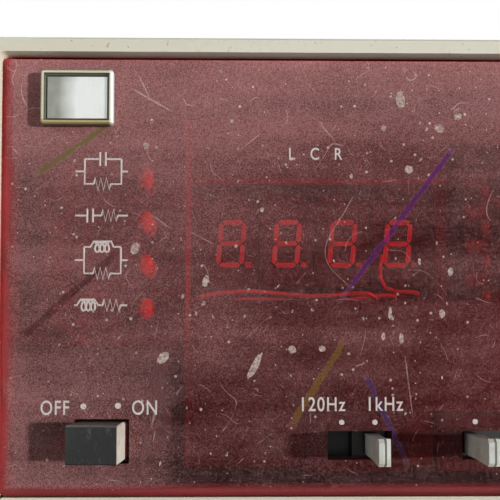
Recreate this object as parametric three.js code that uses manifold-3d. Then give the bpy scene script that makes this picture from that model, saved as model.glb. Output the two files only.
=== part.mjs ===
// A half-rack bench LCR bridge: red display window over a cream terminal panel, in a cast and
// sheet-metal cabinet.
// Millimetres, +Z up, front towards -Y. The origin is the middle of the footprint, on the bench.
import * as THREE from "three";
import { mergeVertices } from "three/addons/utils/BufferGeometryUtils.js";
import Module from "manifold-3d";

const wasm = await Module();
wasm.setup();

// Cabinet
const cabinetWidth = 213;
const bodyHeight = 132.6;
const footHeight = 14.4;
const cabinetDepth = 318;
const clearance = 0.3;
const cutOverrun = 1;

// Front and rear castings
const frameDepth = 20;
const frameProud = 1.5;
const frameRailSide = 3.7;
const frameRailTop = 3.2;
const frameCornerRadius = 3;
const frameEdgeRound = 0.6;
const ledgeWidth = 3.4;
const ledgeThickness = 2;
const crossBarHeight = 8;
const rearFrameDepth = 14;
const bumperSize = 24;
const bumperLength = 11.5;
const bumperCornerRadius = 5;

// Red window
const windowThickness = 3;
const windowCornerRadius = 1.2;
const windowEdgeBevel = 0.8;

// Controls in the window. Places across it are shares of its width or measured from its right edge;
// heights are measured from its bottom edge.
const rockerShare = 0.103;
const rockerFromBottom = 11.2;
const rockerCutWidth = 11.2;
const rockerCutHeight = 9.1;
const rockerWidth = 10;
const rockerHeight = 7.8;
const rockerFaceFlare = 0.2;
const rockerProud = 6;
const rockerPivotDepth = 1.4;
const rockerTilt = 5;
const rockerFaceHollow = 0.5;
const rockerHeel = 3.2;
const rockerPinRadius = 0.8;
const rockerPinLength = 1.2;
const slideFromBottom = 10.3;
const slidePitch = 6.86;
const slotHeight = 5.9;
const slotMarginLow = 2.6;
const slotMarginHigh = 3.85;
const frequencyFromRight = 128;
const biasFromRight = 107;
const functionFromRight = 64.3;
const circuitFromRight = 35;
const leverThickness = 2.4;
const leverHeight = 4.4;
const leverTipHeight = 5.3;
const leverTipLength = 6;
const leverProud = 10.5;
const leverStepWidth = 0.8;
const leverStepDepth = 0.7;
const sliderWidth = 7;
const sliderHeight = 8.4;
const sliderDepth = 4;
const buttonFromRight = 11.5;
const buttonSize = 7;
const buttonRound = 1;
const buttonProud = 4.5;
const buttonTravel = 2.5;
const buttonHeel = 1.2;
const switchLip = 1.5;
const switchWall = 1.6;
const switchBack = 2;

// Badge on the window
const badgeFromLeft = 15.9;
const badgeFromTop = 9.4;
const badgeWidth = 15;
const badgeHeight = 11.4;
const badgeDepth = 1.9;
const badgeRim = 0.75;
const badgeTaper = 0.35;
const badgeRecess = 0.7;
const badgePlateThickness = 0.4;

// Display behind the window, measured from the window's left and top edges
const maskDepth = 4;
const maskThickness = 1;
const maskLeftMargin = 37.9;
const maskRightMargin = 10.5;
const maskTopMargin = 11.2;
const maskBottomMargin = 5.3;
const maskLeftBar = 1.1;
const digitDropShare = 0.41904;
const displayAbove = 12.4;
const displayBelow = 12.5;
const mainDisplayWidth = 52.7;
const maskDivider = 2.1;
const maskRim = 1.9;
const maskRimRise = 0.5;
const unitWindowWidth = 18;
const lossWindowWidth = 34;
const unitWindowShare = 0.2385;
const digitDepth = 7;
const digitPitchShare = 0.2302;
const digitSpacing = 0.4;
const digitBodyHeight = 19;
const digitThickness = 7;
const firstDigitShare = 0.165;
const figureHeight = 10.4;
const figureWidth = 5;
const segmentWidth = 1.05;
const segmentGap = 0.18;
const segmentRise = 0.3;
const figureSlant = 0.08;
const decimalSize = 1.1;
const decimalOffset = 4.1;
const lossDigitPitch = 9.4;
const lossFigureShare = 0.72;
const lampFromLeft = 28.9;
const firstLampShare = 0.2604;
const lampPitchShare = 0.1042;
const unitLampShare = 0.8;
const unitLampCount = 4;
const lampWidth = 3.6;
const lampHeight = 4.9;
const lampDepth = 5.6;
const unitStripWidth = 6;
const unitStripThickness = 5;
const boardThickness = 1.6;
const displayBoardMargin = 4;
const displayBoardTopMargin = 8;
const displayBoardDrop = 10;
const postRadius = 2.6;
const wireDiameter = 0.9;
const wireDepth = 5.7;
const wirePlugShare = 0.816;
const wirePlugWidth = 9;
const wirePlugHeight = 3.4;
const wirePlugDepth = 2.6;

// Terminal panel
const panelHeight = 33.4;
const panelThickness = 2.5;
const panelSetBack = 0.4;
const panelCornerRadius = 1;
const terminalPitch = 19.05;
const terminalCount = 5;
const terminalsShare = 0.37805;
const terminalRowHeight = 17.4;
const terminalBaseHeight = 15;
const terminalBaseThickness = 2.4;
const terminalBossRadius = 6;
const terminalBossLength = 1.4;
const studRadius = 2;
const studLength = 14;
const capRadius = 5.6;
const capLength = 11.5;
const capFluteDepth = 0.45;
const capFlutes = 16;
const capNeck = 1.6;
const capNoseLength = 1.8;
const terminalTailRadius = 3;
const terminalTailLength = 9;
const zeroKnobFromLeft = 19;
const zeroKnobPitch = 24;
const knobRadius = 6.5;
const knobLength = 10;
const knobFluteDepth = 0.35;
const knobFlutes = 20;
const knobSkirtRadius = 8;
const knobSkirtLength = 2;
const knobPointerWidth = 1;
const knobPointerDepth = 0.5;
const shaftRadius = 3;
const bushRadius = 4.6;
const potRadius = 7.5;
const potLength = 9;

// Cabinet sides, covers and rear
const sideThickness = 5;
const sideRail = 17;
const sideEndWall = 16;
const sidePocketDepth = 1.8;
const sideLip = 5;
const coverThickness = 1.5;
const coverSetDown = 0.5;
const coverLedgeWidth = 5;
const coverLedgeThickness = 2;
const ventLength = 26;
const ventWidth = 3;
const ventPitch = 9;
const ventCount = 8;
const ventFieldOffset = 52;
const ventFieldShift = 70;
const rearPanelThickness = 2;
const rearPanelSetIn = 3;

// Rear fittings
const inletFromRight = 50;
const inletFromBottom = 34;
const inletWidth = 30;
const inletHeight = 23;
const inletFlangeWidth = 48;
const inletFlangeHeight = 28;
const inletFlange = 2.2;
const inletDepth = 19;
const inletCavityWidth = 24.6;
const inletCavityHeight = 17;
const inletCavityDepth = 16;
const pinSpacing = 14;
const pinWidth = 2;
const pinHeight = 4;
const pinLength = 13;
const pinDrop = 1.6;
const earthPinRise = 3.2;
const fuseFromRight = 92;
const fuseBarrelRadius = 6.5;
const fuseFlangeRadius = 8.6;
const fuseFlangeThickness = 2;
const fuseBarrelLength = 34;
const fuseCapRadius = 6.4;
const fuseCapLength = 7;
const fuseStemRadius = 3.6;
const fuseStemLength = 24;
const fuseSlotWidth = 1.6;
const fuseSlotDepth = 1.5;
const selectorFromRight = 136;
const selectorWidth = 24;
const selectorHeight = 13;
const selectorDepth = 9;
const selectorFlange = 1.6;
const selectorSlotWidth = 12;
const selectorSlotHeight = 5.4;
const selectorTravel = 5;
const selectorKnob = 5;
const selectorKnobHeight = 4.4;
const selectorKnobProud = 0.6;
const selectorGrooveDepth = 1;
const selectorGrooveWidth = 1.2;

// Inner parts
const transformerWidth = 62;
const transformerDepth = 52;
const transformerHeight = 56;
const transformerFromRear = 62;
const transformerFromRight = 52;
const coilWidth = 40;
const coilOverhang = 11;
const coilHeight = 34;
const transformerFoot = 3;
const transformerFootReach = 9;
const mainBoardMargin = 9.5;
const mainBoardGap = 8;
const mainBoardFromFront = 46;
const mainBoardHeight = 10;
const boardPostInset = 8;
const relayWidth = 24;
const relayDepth = 16;
const relayHeight = 14;
const relayCount = 5;
const shieldWidthShare = 0.36;
const shieldDepthShare = 0.64;
const shieldHeight = 38;
const capacitorRadius = 9;
const capacitorHeight = 46;
const capacitorCount = 3;

// Feet and tilt stand
const footWidth = 26;
const footLength = 40;
const footTaper = 2.5;
const footPadHeight = 2;
const footPadInset = 2.5;
const footFromSide = 10;
const footFromFront = 18;
const footFromRear = 22;
const footRound = 5;
const standWire = 4;
const standLegLength = 52;
const standBend = 8;
const standPinLength = 7;
const standPivotHeight = 8;
const standPivotBack = 26;

// Facets
const roundSegments = 20;
const smallSegments = 12;
const cornerSegments = 3;
const ventEndSegments = 1;
const bossSegments = 16;
const wireSides = 6;
const mergeTolerance = 1e-4;

// Places worked out from the sizes above
const bodyTop = footHeight + bodyHeight;
const halfWidth = cabinetWidth / 2;
const frontFace = -frameProud;
const frameBack = frontFace + frameDepth;
const rearFace = frontFace + cabinetDepth;
const rearFrameFront = rearFace - rearFrameDepth;
const windowHalf = halfWidth - frameRailSide - clearance;
const windowLeft = -windowHalf;
const windowTop = bodyTop - frameRailTop - clearance;
const panelBottom = footHeight + frameRailSide + clearance;
const panelTop = panelBottom + panelHeight;
const windowBottom = panelTop + clearance;
const windowHeight = windowTop - windowBottom;
const windowWidth = 2 * windowHalf;
const behindWindow = windowThickness + clearance;
const panelBack = panelSetBack + panelThickness;
const slideZ = windowBottom + slideFromBottom;
const maskLeft = windowLeft + maskLeftMargin;
const maskRight = windowHalf - maskRightMargin;
const maskTop = windowTop - maskTopMargin;
const maskBottom = windowBottom + maskBottomMargin;
const maskBack = maskDepth + maskThickness;
const mainDisplayLeft = maskLeft + maskLeftBar;
const mainDisplayRight = mainDisplayLeft + mainDisplayWidth;
const unitLeft = mainDisplayRight + maskDivider;
const lossLeft = unitLeft + unitWindowWidth + maskDivider;
const lampPitch = windowHeight * lampPitchShare;
const unitLampPitch = lampPitch * unitLampShare;
const digitPitch = digitPitchShare * mainDisplayWidth;
const digitWidth = digitPitch - digitSpacing;
const digitZ = windowTop - digitDropShare * windowHeight;
const displayZ = [digitZ - displayBelow, digitZ + displayAbove];
const boardFront = digitDepth + digitThickness + clearance;
const sideInner = halfWidth - sideThickness;
const sideFront = frameBack + clearance;
const sideRear = rearFrameFront - clearance;
const coverTopZ = bodyTop - coverSetDown;
const coverHalf = sideInner - clearance;
const rearPanelBack = rearFace - rearPanelSetIn;
const rearPanelFront = rearPanelBack - rearPanelThickness;

// Interval helpers: a centre with a size, and a start with a length
function about(centre, size) {
  return [centre - size / 2, centre + size / 2];
}

function from(start, length) {
  return [start, start + length];
}

// Solids and geometries
function toSolid(geometry) {
  geometry.deleteAttribute("normal");
  geometry.deleteAttribute("uv");
  const merged = mergeVertices(geometry, mergeTolerance);
  const vertProperties = merged.attributes.position.array;
  const triVerts = new Uint32Array(merged.index.array);
  return new wasm.Manifold(new wasm.Mesh({ numProp: 3, vertProperties, triVerts }));
}

function toGeometry(solid) {
  const mesh = solid.getMesh();
  const geometry = new THREE.BufferGeometry();
  geometry.setAttribute("position", new THREE.BufferAttribute(mesh.vertProperties, 3));
  geometry.setIndex(new THREE.BufferAttribute(mesh.triVerts, 1));
  return geometry;
}

function join(solids) {
  return solids.reduce((whole, piece) => whole.add(piece));
}

function cut(solid, tools) {
  return tools.reduce((left, tool) => left.subtract(tool), solid);
}

function block([x0, x1], [y0, y1], [z0, z1]) {
  const geometry = new THREE.BoxGeometry(x1 - x0, y1 - y0, z1 - z0);
  geometry.translate((x0 + x1) / 2, (y0 + y1) / 2, (z0 + z1) / 2);
  return toSolid(geometry);
}

function roundedShape([x0, x1], [z0, z1], radius) {
  const shape = new THREE.Shape();
  shape.absarc(x1 - radius, z0 + radius, radius, -Math.PI / 2, 0);
  shape.absarc(x1 - radius, z1 - radius, radius, 0, Math.PI / 2);
  shape.absarc(x0 + radius, z1 - radius, radius, Math.PI / 2, Math.PI);
  shape.absarc(x0 + radius, z0 + radius, radius, Math.PI, Math.PI * 1.5);
  return shape;
}

function polygon(points) {
  return new THREE.Shape(points.map(([a, b]) => new THREE.Vector2(a, b)));
}

const axisX = new THREE.Vector3(1, 0, 0);
const axisY = new THREE.Vector3(0, 1, 0);
const axisZ = new THREE.Vector3(0, 0, 1);
const drawnInYZ = new THREE.Matrix4().makeBasis(axisY, axisZ, axisX);
const drawnInXZ = new THREE.Matrix4().makeBasis(axisX, axisZ, axisY.clone().negate());

// Extrusions of a flat outline along one axis, with an optional bevel on both rims inside the length
function extrusion(shape, length, bevel = 0, curveSegments = cornerSegments) {
  return new THREE.ExtrudeGeometry(shape, {
    depth: length - 2 * bevel,
    curveSegments,
    bevelEnabled: bevel > 0,
    bevelThickness: bevel,
    bevelSize: bevel,
    bevelOffset: -bevel,
    bevelSegments: 1,
  }).translate(0, 0, bevel);
}

function alongX(shape, [x0, x1], bevel) {
  return toSolid(extrusion(shape, x1 - x0, bevel).applyMatrix4(drawnInYZ).translate(x0, 0, 0));
}

function alongY(shape, [y0, y1], bevel) {
  return toSolid(extrusion(shape, y1 - y0, bevel).applyMatrix4(drawnInXZ).translate(0, y1, 0));
}

function alongZ(shape, [z0, z1], bevel, curveSegments) {
  return toSolid(extrusion(shape, z1 - z0, bevel, curveSegments).translate(0, 0, z0));
}

// An extrusion along Z whose lower rim is drawn in by an inset, towards its centre
function taperedZ(shape, [z0, z1], [centreX, centreY], inset) {
  const geometry = extrusion(shape, z1 - z0);
  const corners = geometry.attributes.position;
  for (let i = 0; i < corners.count; i++) {
    if (corners.getZ(i) > (z1 - z0) / 2) continue;
    corners.setX(i, corners.getX(i) - inset * Math.sign(corners.getX(i) - centreX));
    corners.setY(i, corners.getY(i) - inset * Math.sign(corners.getY(i) - centreY));
  }
  return toSolid(geometry.translate(0, 0, z0));
}

// Round bars along each axis
function rodY(radius, x, [y0, y1], z, segments = roundSegments) {
  const geometry = new THREE.CylinderGeometry(radius, radius, y1 - y0, segments);
  return toSolid(geometry.translate(x, (y0 + y1) / 2, z));
}

function rodZ(radius, x, y, [z0, z1], segments = roundSegments) {
  const geometry = new THREE.CylinderGeometry(radius, radius, z1 - z0, segments);
  return toSolid(geometry.rotateX(Math.PI / 2).translate(x, y, (z0 + z1) / 2));
}

function rodX(radius, [x0, x1], y, z, segments = roundSegments) {
  const geometry = new THREE.CylinderGeometry(radius, radius, x1 - x0, segments);
  return toSolid(geometry.rotateZ(Math.PI / 2).translate((x0 + x1) / 2, y, z));
}

// A turned form about a line along Y: points are radius and place along the line, from the front to the back
function turnedY(points, x, z, segments = roundSegments) {
  const profile = points.map(([radius, y]) => new THREE.Vector2(radius, y));
  return toSolid(new THREE.LatheGeometry(profile, segments).translate(x, 0, z));
}

// A fluted grip: its outline swings between two radii
function flutedShape(radius, depth, flutes, x, z) {
  const points = [];
  for (let i = 0; i < flutes * 2; i++) {
    const reach = radius - depth * (i % 2);
    const angle = (Math.PI * i) / flutes;
    points.push([x + reach * Math.cos(angle), z + reach * Math.sin(angle)]);
  }
  return polygon(points);
}

// A wire along a smooth curve
function wireAlong(points, diameter, step) {
  const curve = new THREE.CatmullRomCurve3(points);
  const section = new THREE.Shape();
  section.absarc(0, 0, diameter / 2, 0, Math.PI * 2);
  const steps = Math.ceil(curve.getLength() / step);
  const options = { steps, curveSegments: wireSides / 2, bevelEnabled: false, extrudePath: curve };
  return toSolid(new THREE.ExtrudeGeometry(section, options));
}

const lengthOf = ([start, end]) => end - start;
const middleOf = ([start, end]) => (start + end) / 2;
const grow = ([start, end], by) => [start - by, end + by];

// Slide switches share one form: a lever in a slot, on a slider trapped behind the lip of its body
const slideSwitches = {
  frequency: { rest: windowHalf - frequencyFromRight, steps: 1, direction: -1 },
  bias: { rest: windowHalf - biasFromRight, steps: 4, direction: 1 },
  function: { rest: windowHalf - functionFromRight, steps: 2, direction: 1 },
  circuit: { rest: windowHalf - circuitFromRight, steps: 1, direction: 1 },
};

function slotRange({ rest, steps, direction }) {
  const other = rest + direction * steps * slidePitch;
  return [Math.min(rest, other) - slotMarginLow, Math.max(rest, other) + slotMarginHigh];
}

const slotZ = about(slideZ, slotHeight);
const cavityZ = about(slideZ, sliderHeight + 2 * clearance);
const cavityY = from(behindWindow + switchLip, sliderDepth + 2 * clearance);
const switchBodyY = [behindWindow, cavityY[1] + switchBack];
const switchBodyZ = grow(cavityZ, switchWall);

function cavityRange(slide) {
  const reach = (sliderWidth - leverThickness) / 2 + clearance;
  return grow(slotRange(slide), reach);
}

function switchBodyRange(slide) {
  return grow(cavityRange(slide), switchWall);
}

function makeSlideBody(slide) {
  const body = block(switchBodyRange(slide), switchBodyY, switchBodyZ);
  const slot = block(slotRange(slide), [behindWindow - cutOverrun, cavityY[1]], slotZ);
  return cut(body, [block(cavityRange(slide), cavityY, cavityZ), slot]);
}

function makeLever({ rest }) {
  const root = cavityY[0] + clearance;
  const tip = -leverProud;
  const half = leverHeight / 2;
  const tipHalf = leverTipHeight / 2;
  const outline = polygon([
    [root + sliderDepth / 2, slideZ - half],
    [root + sliderDepth / 2, slideZ + half],
    [tip + leverTipLength, slideZ + half],
    [tip + leverStepDepth, slideZ + tipHalf],
    [tip, slideZ + tipHalf - leverStepDepth],
    [tip, slideZ - tipHalf + leverStepDepth],
    [tip + leverStepDepth, slideZ - tipHalf],
    [tip + leverTipLength, slideZ - half],
  ]);
  const [left, right] = about(rest, leverThickness);
  const paddle = alongX(outline, [left, right]);
  const step = block(
    [right - leverStepWidth, right + cutOverrun],
    [tip - cutOverrun, tip + leverStepDepth],
    about(slideZ, leverTipHeight + cutOverrun),
  );
  const slider = block(about(rest, sliderWidth), from(root, sliderDepth), about(slideZ, sliderHeight));
  return join([cut(paddle, [step]), slider]);
}

// Power rocker: a flared key with a hollowed face, on two pins, in a body behind the window
const rockerX = windowLeft + rockerShare * windowWidth;
const rockerZ = windowBottom + rockerFromBottom;
const rockerPivotY = behindWindow + rockerPivotDepth;
const rockerBodyX = about(rockerX, rockerCutWidth + 2 * switchWall);
const rockerBodyZ = about(rockerZ, rockerHeight + 2 * (clearance + switchWall));
const rockerCavityY = [behindWindow - cutOverrun, rockerPivotY + rockerHeel + 2 * clearance];
const rockerBodyY = [behindWindow, rockerCavityY[1] + switchBack];

function rockerOutline() {
  const faceHalf = rockerWidth / 2 + rockerFaceFlare;
  const heelHalf = rockerWidth / 4;
  const points = [
    [rockerWidth / 2, behindWindow],
    [heelHalf, rockerPivotY + rockerHeel],
    [-heelHalf, rockerPivotY + rockerHeel],
    [-rockerWidth / 2, behindWindow],
  ];
  const facets = roundSegments / 2;
  for (let i = 0; i <= facets; i++) {
    const across = (2 * i) / facets - 1;
    points.push([across * faceHalf, rockerFaceHollow * (1 - across * across) - rockerProud]);
  }
  return polygon(points.map(([x, y]) => [x, y - rockerPivotY]));
}

function makeRocker() {
  const key = alongZ(rockerOutline(), about(rockerZ, rockerHeight), frameEdgeRound / 2);
  const pins = rodZ(
    rockerPinRadius,
    0,
    0,
    about(rockerZ, rockerHeight + 2 * rockerPinLength),
    smallSegments,
  );
  return join([key, pins]).rotate([0, 0, -rockerTilt]).translate([rockerX, rockerPivotY, 0]);
}

function makeRockerBody() {
  const body = block(rockerBodyX, rockerBodyY, rockerBodyZ);
  const cavity = block(
    about(rockerX, rockerCutWidth),
    rockerCavityY,
    about(rockerZ, rockerHeight + 2 * clearance),
  );
  const holeSpan = about(rockerZ, rockerHeight + 2 * rockerPinLength + 2 * clearance);
  const hole = rodZ(rockerPinRadius + clearance, rockerX, rockerPivotY, holeSpan, smallSegments);
  return cut(body, [cavity, hole]);
}

// Test button: a square plunger with a flange that the body's lip stops
const buttonX = windowHalf - buttonFromRight;
const buttonCavityY = [
  behindWindow + switchLip,
  behindWindow + switchLip + buttonHeel + buttonTravel + 2 * clearance,
];
const buttonBodyX = about(buttonX, buttonSize + 2 * (buttonHeel + clearance + switchWall));
const buttonBodyZ = about(slideZ, buttonSize + 2 * (buttonHeel + clearance + switchWall));
const buttonBodyY = [behindWindow, buttonCavityY[1] + switchBack];

function makeButton() {
  const face = roundedShape(about(buttonX, buttonSize), about(slideZ, buttonSize), buttonRound);
  const heelY = from(behindWindow + switchLip + clearance, buttonHeel);
  const plunger = alongY(face, [-buttonProud, heelY[0] + buttonHeel / 2], frameEdgeRound / 2);
  const heel = block(
    about(buttonX, buttonSize + 2 * buttonHeel),
    heelY,
    about(slideZ, buttonSize + 2 * buttonHeel),
  );
  return join([plunger, heel]);
}

function makeButtonBody() {
  const cavitySize = buttonSize + 2 * (buttonHeel + clearance);
  const mouthSize = buttonSize + 2 * clearance;
  const body = block(buttonBodyX, buttonBodyY, buttonBodyZ);
  const cavity = block(about(buttonX, cavitySize), buttonCavityY, about(slideZ, cavitySize));
  const mouthY = [behindWindow - cutOverrun, buttonCavityY[1]];
  return cut(body, [cavity, block(about(buttonX, mouthSize), mouthY, about(slideZ, mouthSize))]);
}

// Front casting: a ring with a ledge for the window and the panel, and a bar behind their joint
function makeFrontFrame() {
  const outline = [about(0, cabinetWidth), [footHeight, bodyTop]];
  const ring = alongY(roundedShape(...outline, frameCornerRadius), [frontFace, frameBack], frameEdgeRound);
  const openingX = about(0, cabinetWidth - 2 * frameRailSide);
  const openingZ = [footHeight + frameRailSide, bodyTop - frameRailTop];
  const throughY = [frontFace - cutOverrun, frameBack + cutOverrun];
  const opening = alongY(roundedShape(openingX, openingZ, windowCornerRadius), throughY);
  const ledgeY = from(behindWindow, ledgeThickness);
  const ledge = cut(block(grow(openingX, frameEdgeRound), ledgeY, grow(openingZ, frameEdgeRound)), [
    block(grow(openingX, -ledgeWidth), grow(ledgeY, cutOverrun), grow(openingZ, -ledgeWidth)),
  ]);
  const barZ = [windowBottom - crossBarHeight, windowBottom + crossBarHeight / 4];
  const bar = block(openingX, ledgeY, barZ);
  const posts = [-1, 1].flatMap((side) =>
    [boardZ[0], boardZ[1]].map((z, top) => {
      const x = side * (boardHalf - postRadius);
      return rodY(
        postRadius,
        x,
        [ledgeY[0], boardFront - clearance],
        z - (2 * top - 1) * postRadius,
        smallSegments,
      );
    }),
  );
  const arms = [-1, 1].flatMap((side) =>
    [boardZ[0], boardZ[1]].map((z, top) => {
      const reach = [side * (boardHalf - postRadius), side * (halfWidth - frameRailSide + frameEdgeRound)];
      const x = [Math.min(...reach), Math.max(...reach)];
      return block(x, ledgeY, about(z - (2 * top - 1) * postRadius, 2 * postRadius));
    }),
  );
  return join([cut(ring, [opening]), ledge, bar, ...posts, ...arms]);
}

function slideCuts(y) {
  return Object.values(slideSwitches).map((slide) => block(slotRange(slide), y, slotZ));
}

function makeWindow() {
  const outline = roundedShape([windowLeft, windowHalf], [windowBottom, windowTop], windowCornerRadius);
  const pane = alongY(outline, from(0, windowThickness), windowEdgeBevel);
  const through = grow(from(0, windowThickness), cutOverrun);
  return cut(pane, [
    ...slideCuts(through),
    block(about(rockerX, rockerCutWidth), through, about(rockerZ, rockerCutHeight)),
    block(about(buttonX, buttonSize + 2 * clearance), through, about(slideZ, buttonSize + 2 * clearance)),
  ]);
}

// Badge: a bevelled metal bezel standing on the window, round a bare plate
const badgeX = about(windowLeft + badgeFromLeft, badgeWidth);
const badgeZ = about(windowTop - badgeFromTop, badgeHeight);
const badgeBack = -clearance;
const badgeFront = badgeBack - badgeDepth;

function makeBadgeBezel() {
  const corners = badgeTaper * 2;
  const base = roundedShape(badgeX, badgeZ, corners);
  const slab = alongY(base, [badgeFront, badgeBack], badgeTaper);
  const recess = block(
    grow(badgeX, -badgeRim),
    [badgeFront - cutOverrun, badgeFront + badgeRecess],
    grow(badgeZ, -badgeRim),
  );
  const well = block(
    grow(badgeX, -badgeRim - clearance),
    [badgeFront, badgeBack - badgePlateThickness],
    grow(badgeZ, -badgeRim - clearance),
  );
  return cut(slab, [recess, well]);
}

function makeBadgePlate() {
  const y = [badgeFront + badgeRecess, badgeBack - badgePlateThickness - clearance];
  return block(grow(badgeX, -badgeRim - 2 * clearance), y, grow(badgeZ, -badgeRim - 2 * clearance));
}

// Display mask: a black plate with a raised rim round the main figures and openings for the switches
function makeMask() {
  const plate = block([maskLeft, maskRight], from(maskDepth, maskThickness), [maskBottom, maskTop]);
  const through = [maskDepth - maskRimRise - cutOverrun, maskBack + cutOverrun];
  const mainX = [mainDisplayLeft, mainDisplayRight];
  const rimY = [maskDepth - maskRimRise, maskDepth + maskThickness / 2];
  const rim = block(
    [maskLeft, mainDisplayRight + maskDivider],
    rimY,
    from(displayZ[1], maskRim),
  );
  const unitZ = [displayZ[0], digitZ + unitWindowShare * windowHeight];
  const cuts = [
    block(mainX, through, displayZ),
    block(from(unitLeft, unitWindowWidth), through, unitZ),
    block(from(lossLeft, lossWindowWidth), through, displayZ),
    block(grow(buttonBodyX, clearance), through, grow(buttonBodyZ, clearance)),
    ...Object.values(slideSwitches).map((slide) =>
      block(grow(switchBodyRange(slide), clearance), through, grow(switchBodyZ, clearance)),
    ),
  ];
  const postY = [maskDepth + maskThickness / 2, boardFront - clearance];
  const posts = [
    rodY(postRadius, mainDisplayLeft + 6 * postRadius, postY, displayZ[0] - 2 * postRadius, smallSegments),
    rodY(postRadius, lossLeft + lossWindowWidth + 2 * postRadius, postY, middleOf(displayZ), smallSegments),
  ];
  return join([cut(join([plate, rim]), cuts), ...posts]);
}

// Display board and what it carries
const boardHalf = windowHalf - displayBoardMargin;
const boardZ = [displayZ[0] - displayBoardDrop, windowTop - displayBoardTopMargin];

function makeDisplayBoard() {
  return block(about(0, 2 * boardHalf), from(boardFront, boardThickness), boardZ);
}

// One seven-segment figure: segments are slanted bars on the package's face
const segmentPlaces = {
  horizontal: [-1, 0, 1],
  vertical: [
    [-1, -1],
    [-1, 1],
    [1, -1],
    [1, 1],
  ],
};

function slanted(x, z, centreX, centreZ) {
  return [centreX + x + z * figureSlant, centreZ + z];
}

function segmentShape(length, width, along, place, centre, scale) {
  const half = length / 2;
  const wide = width / 2;
  const bar = [
    [-half, 0],
    [-half + wide, wide],
    [half - wide, wide],
    [half, 0],
    [half - wide, -wide],
    [-half + wide, -wide],
  ];
  const turned = along === "x" ? bar : bar.map(([a, b]) => [b, a]);
  const moved = turned.map(([a, b]) => [(a + place[0]) * scale, (b + place[1]) * scale]);
  return polygon(moved.map(([a, b]) => slanted(a, b, ...centre)));
}

function figureSegments(centre, scale, y) {
  const across = figureWidth / 2;
  const rise = (figureHeight - segmentWidth) / 2;
  const barLength = figureWidth - 2 * segmentGap;
  const uprightLength = rise - 2 * segmentGap;
  const bars = segmentPlaces.horizontal.map((level) =>
    segmentShape(barLength, segmentWidth, "x", [0, level * rise], centre, scale),
  );
  const uprights = segmentPlaces.vertical.map(([side, level]) =>
    segmentShape(uprightLength, segmentWidth, "z", [side * across, (level * rise) / 2], centre, scale),
  );
  return [...bars, ...uprights].map((shape) => alongY(shape, y));
}

function makeFigurePoint(centre, scale, y) {
  const [x, z] = slanted(decimalOffset * scale, (-figureHeight / 2) * scale, ...centre);
  return block(about(x, decimalSize * scale), y, about(z + (decimalSize * scale) / 2, decimalSize * scale));
}

const segmentY = [digitDepth - segmentRise, digitDepth + segmentRise];

function makeDigit(index) {
  const x = mainDisplayLeft + firstDigitShare * mainDisplayWidth + index * digitPitch;
  const body = block(
    about(x, digitWidth),
    from(digitDepth, digitThickness),
    about(digitZ, digitBodyHeight),
  );
  const centre = [x, digitZ];
  return join([body, ...figureSegments(centre, 1, segmentY), makeFigurePoint(centre, 1, segmentY)]);
}

function makeLossDisplay() {
  const middle = lossLeft + lossWindowWidth / 2;
  const width = 3 * lossDigitPitch;
  const body = block(
    about(middle, width),
    from(digitDepth, digitThickness),
    about(digitZ, digitBodyHeight),
  );
  const figures = [-1, 0, 1].flatMap((place) => {
    const centre = [middle + place * lossDigitPitch, digitZ];
    return [
      ...figureSegments(centre, lossFigureShare, segmentY),
      makeFigurePoint(centre, lossFigureShare, segmentY),
    ];
  });
  return join([body, ...figures]);
}

// Lamps: oval domed lenses on a barrel that reaches the board
function lampSolid(x, z, back) {
  const half = lampWidth / 2;
  const dome = lampDepth + half;
  const points = [
    [0, lampDepth],
    [half * Math.sin(Math.PI / 6), lampDepth + half * (1 - Math.cos(Math.PI / 6))],
    [half * Math.sin(Math.PI / 3), lampDepth + half * (1 - Math.cos(Math.PI / 3))],
    [half, dome],
    [half, back],
    [0, back],
  ];
  const profile = points.map(([radius, y]) => new THREE.Vector2(radius, y));
  const geometry = new THREE.LatheGeometry(profile, smallSegments);
  return toSolid(geometry.scale(1, 1, lampHeight / lampWidth).translate(x, 0, z));
}

function makeModeLamp(index) {
  const z = windowTop - firstLampShare * windowHeight - index * lampPitch;
  return lampSolid(windowLeft + lampFromLeft, z, boardFront - clearance);
}

function makeUnitStrip() {
  const x = unitLeft + unitWindowWidth / 2;
  const stripY = [boardFront - clearance - unitStripThickness, boardFront - clearance];
  const strip = block(about(x, unitStripWidth), stripY, about(digitZ, unitLampCount * unitLampPitch));
  const lamps = Array.from({ length: unitLampCount }, (_, i) => {
    const place = i - (unitLampCount - 1) / 2;
    return lampSolid(x, digitZ + place * unitLampPitch, middleOf(stripY));
  });
  return join([strip, ...lamps]);
}

// Loose display wires: three runs that leave one small plug under the fourth figure
const plugX = mainDisplayLeft + wirePlugShare * mainDisplayWidth;
const plugY = [boardFront - clearance - wirePlugDepth, boardFront - clearance];
const plugZ = displayZ[0] - wirePlugHeight;
const lowRun = wireDepth + 1.5 * wireDiameter;
const boardRun = boardFront - wireDiameter;

// Each point of a run: share of the main display's width, depth, and rise above its foot as a share
// of its height
const wireRuns = [
  [-0.3, [0.75, wireDepth, 0.05], [0.5, wireDepth, 0.04], [0.2, wireDepth, 0.08], [0.02, wireDepth, 0.01],
    [0.03, boardRun, -0.16]],
  [0, [0.85, lowRun, 0.04], [0.55, lowRun, -0.01], [0.15, lowRun, 0], [0.08, boardRun, -0.12]],
  [
    0.3,
    [0.94, wireDepth, 0.056],
    [0.8, wireDepth, 0.104],
    [0.775, wireDepth, 0.24],
    [0.785, wireDepth, 0.4],
  ],
];

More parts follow.
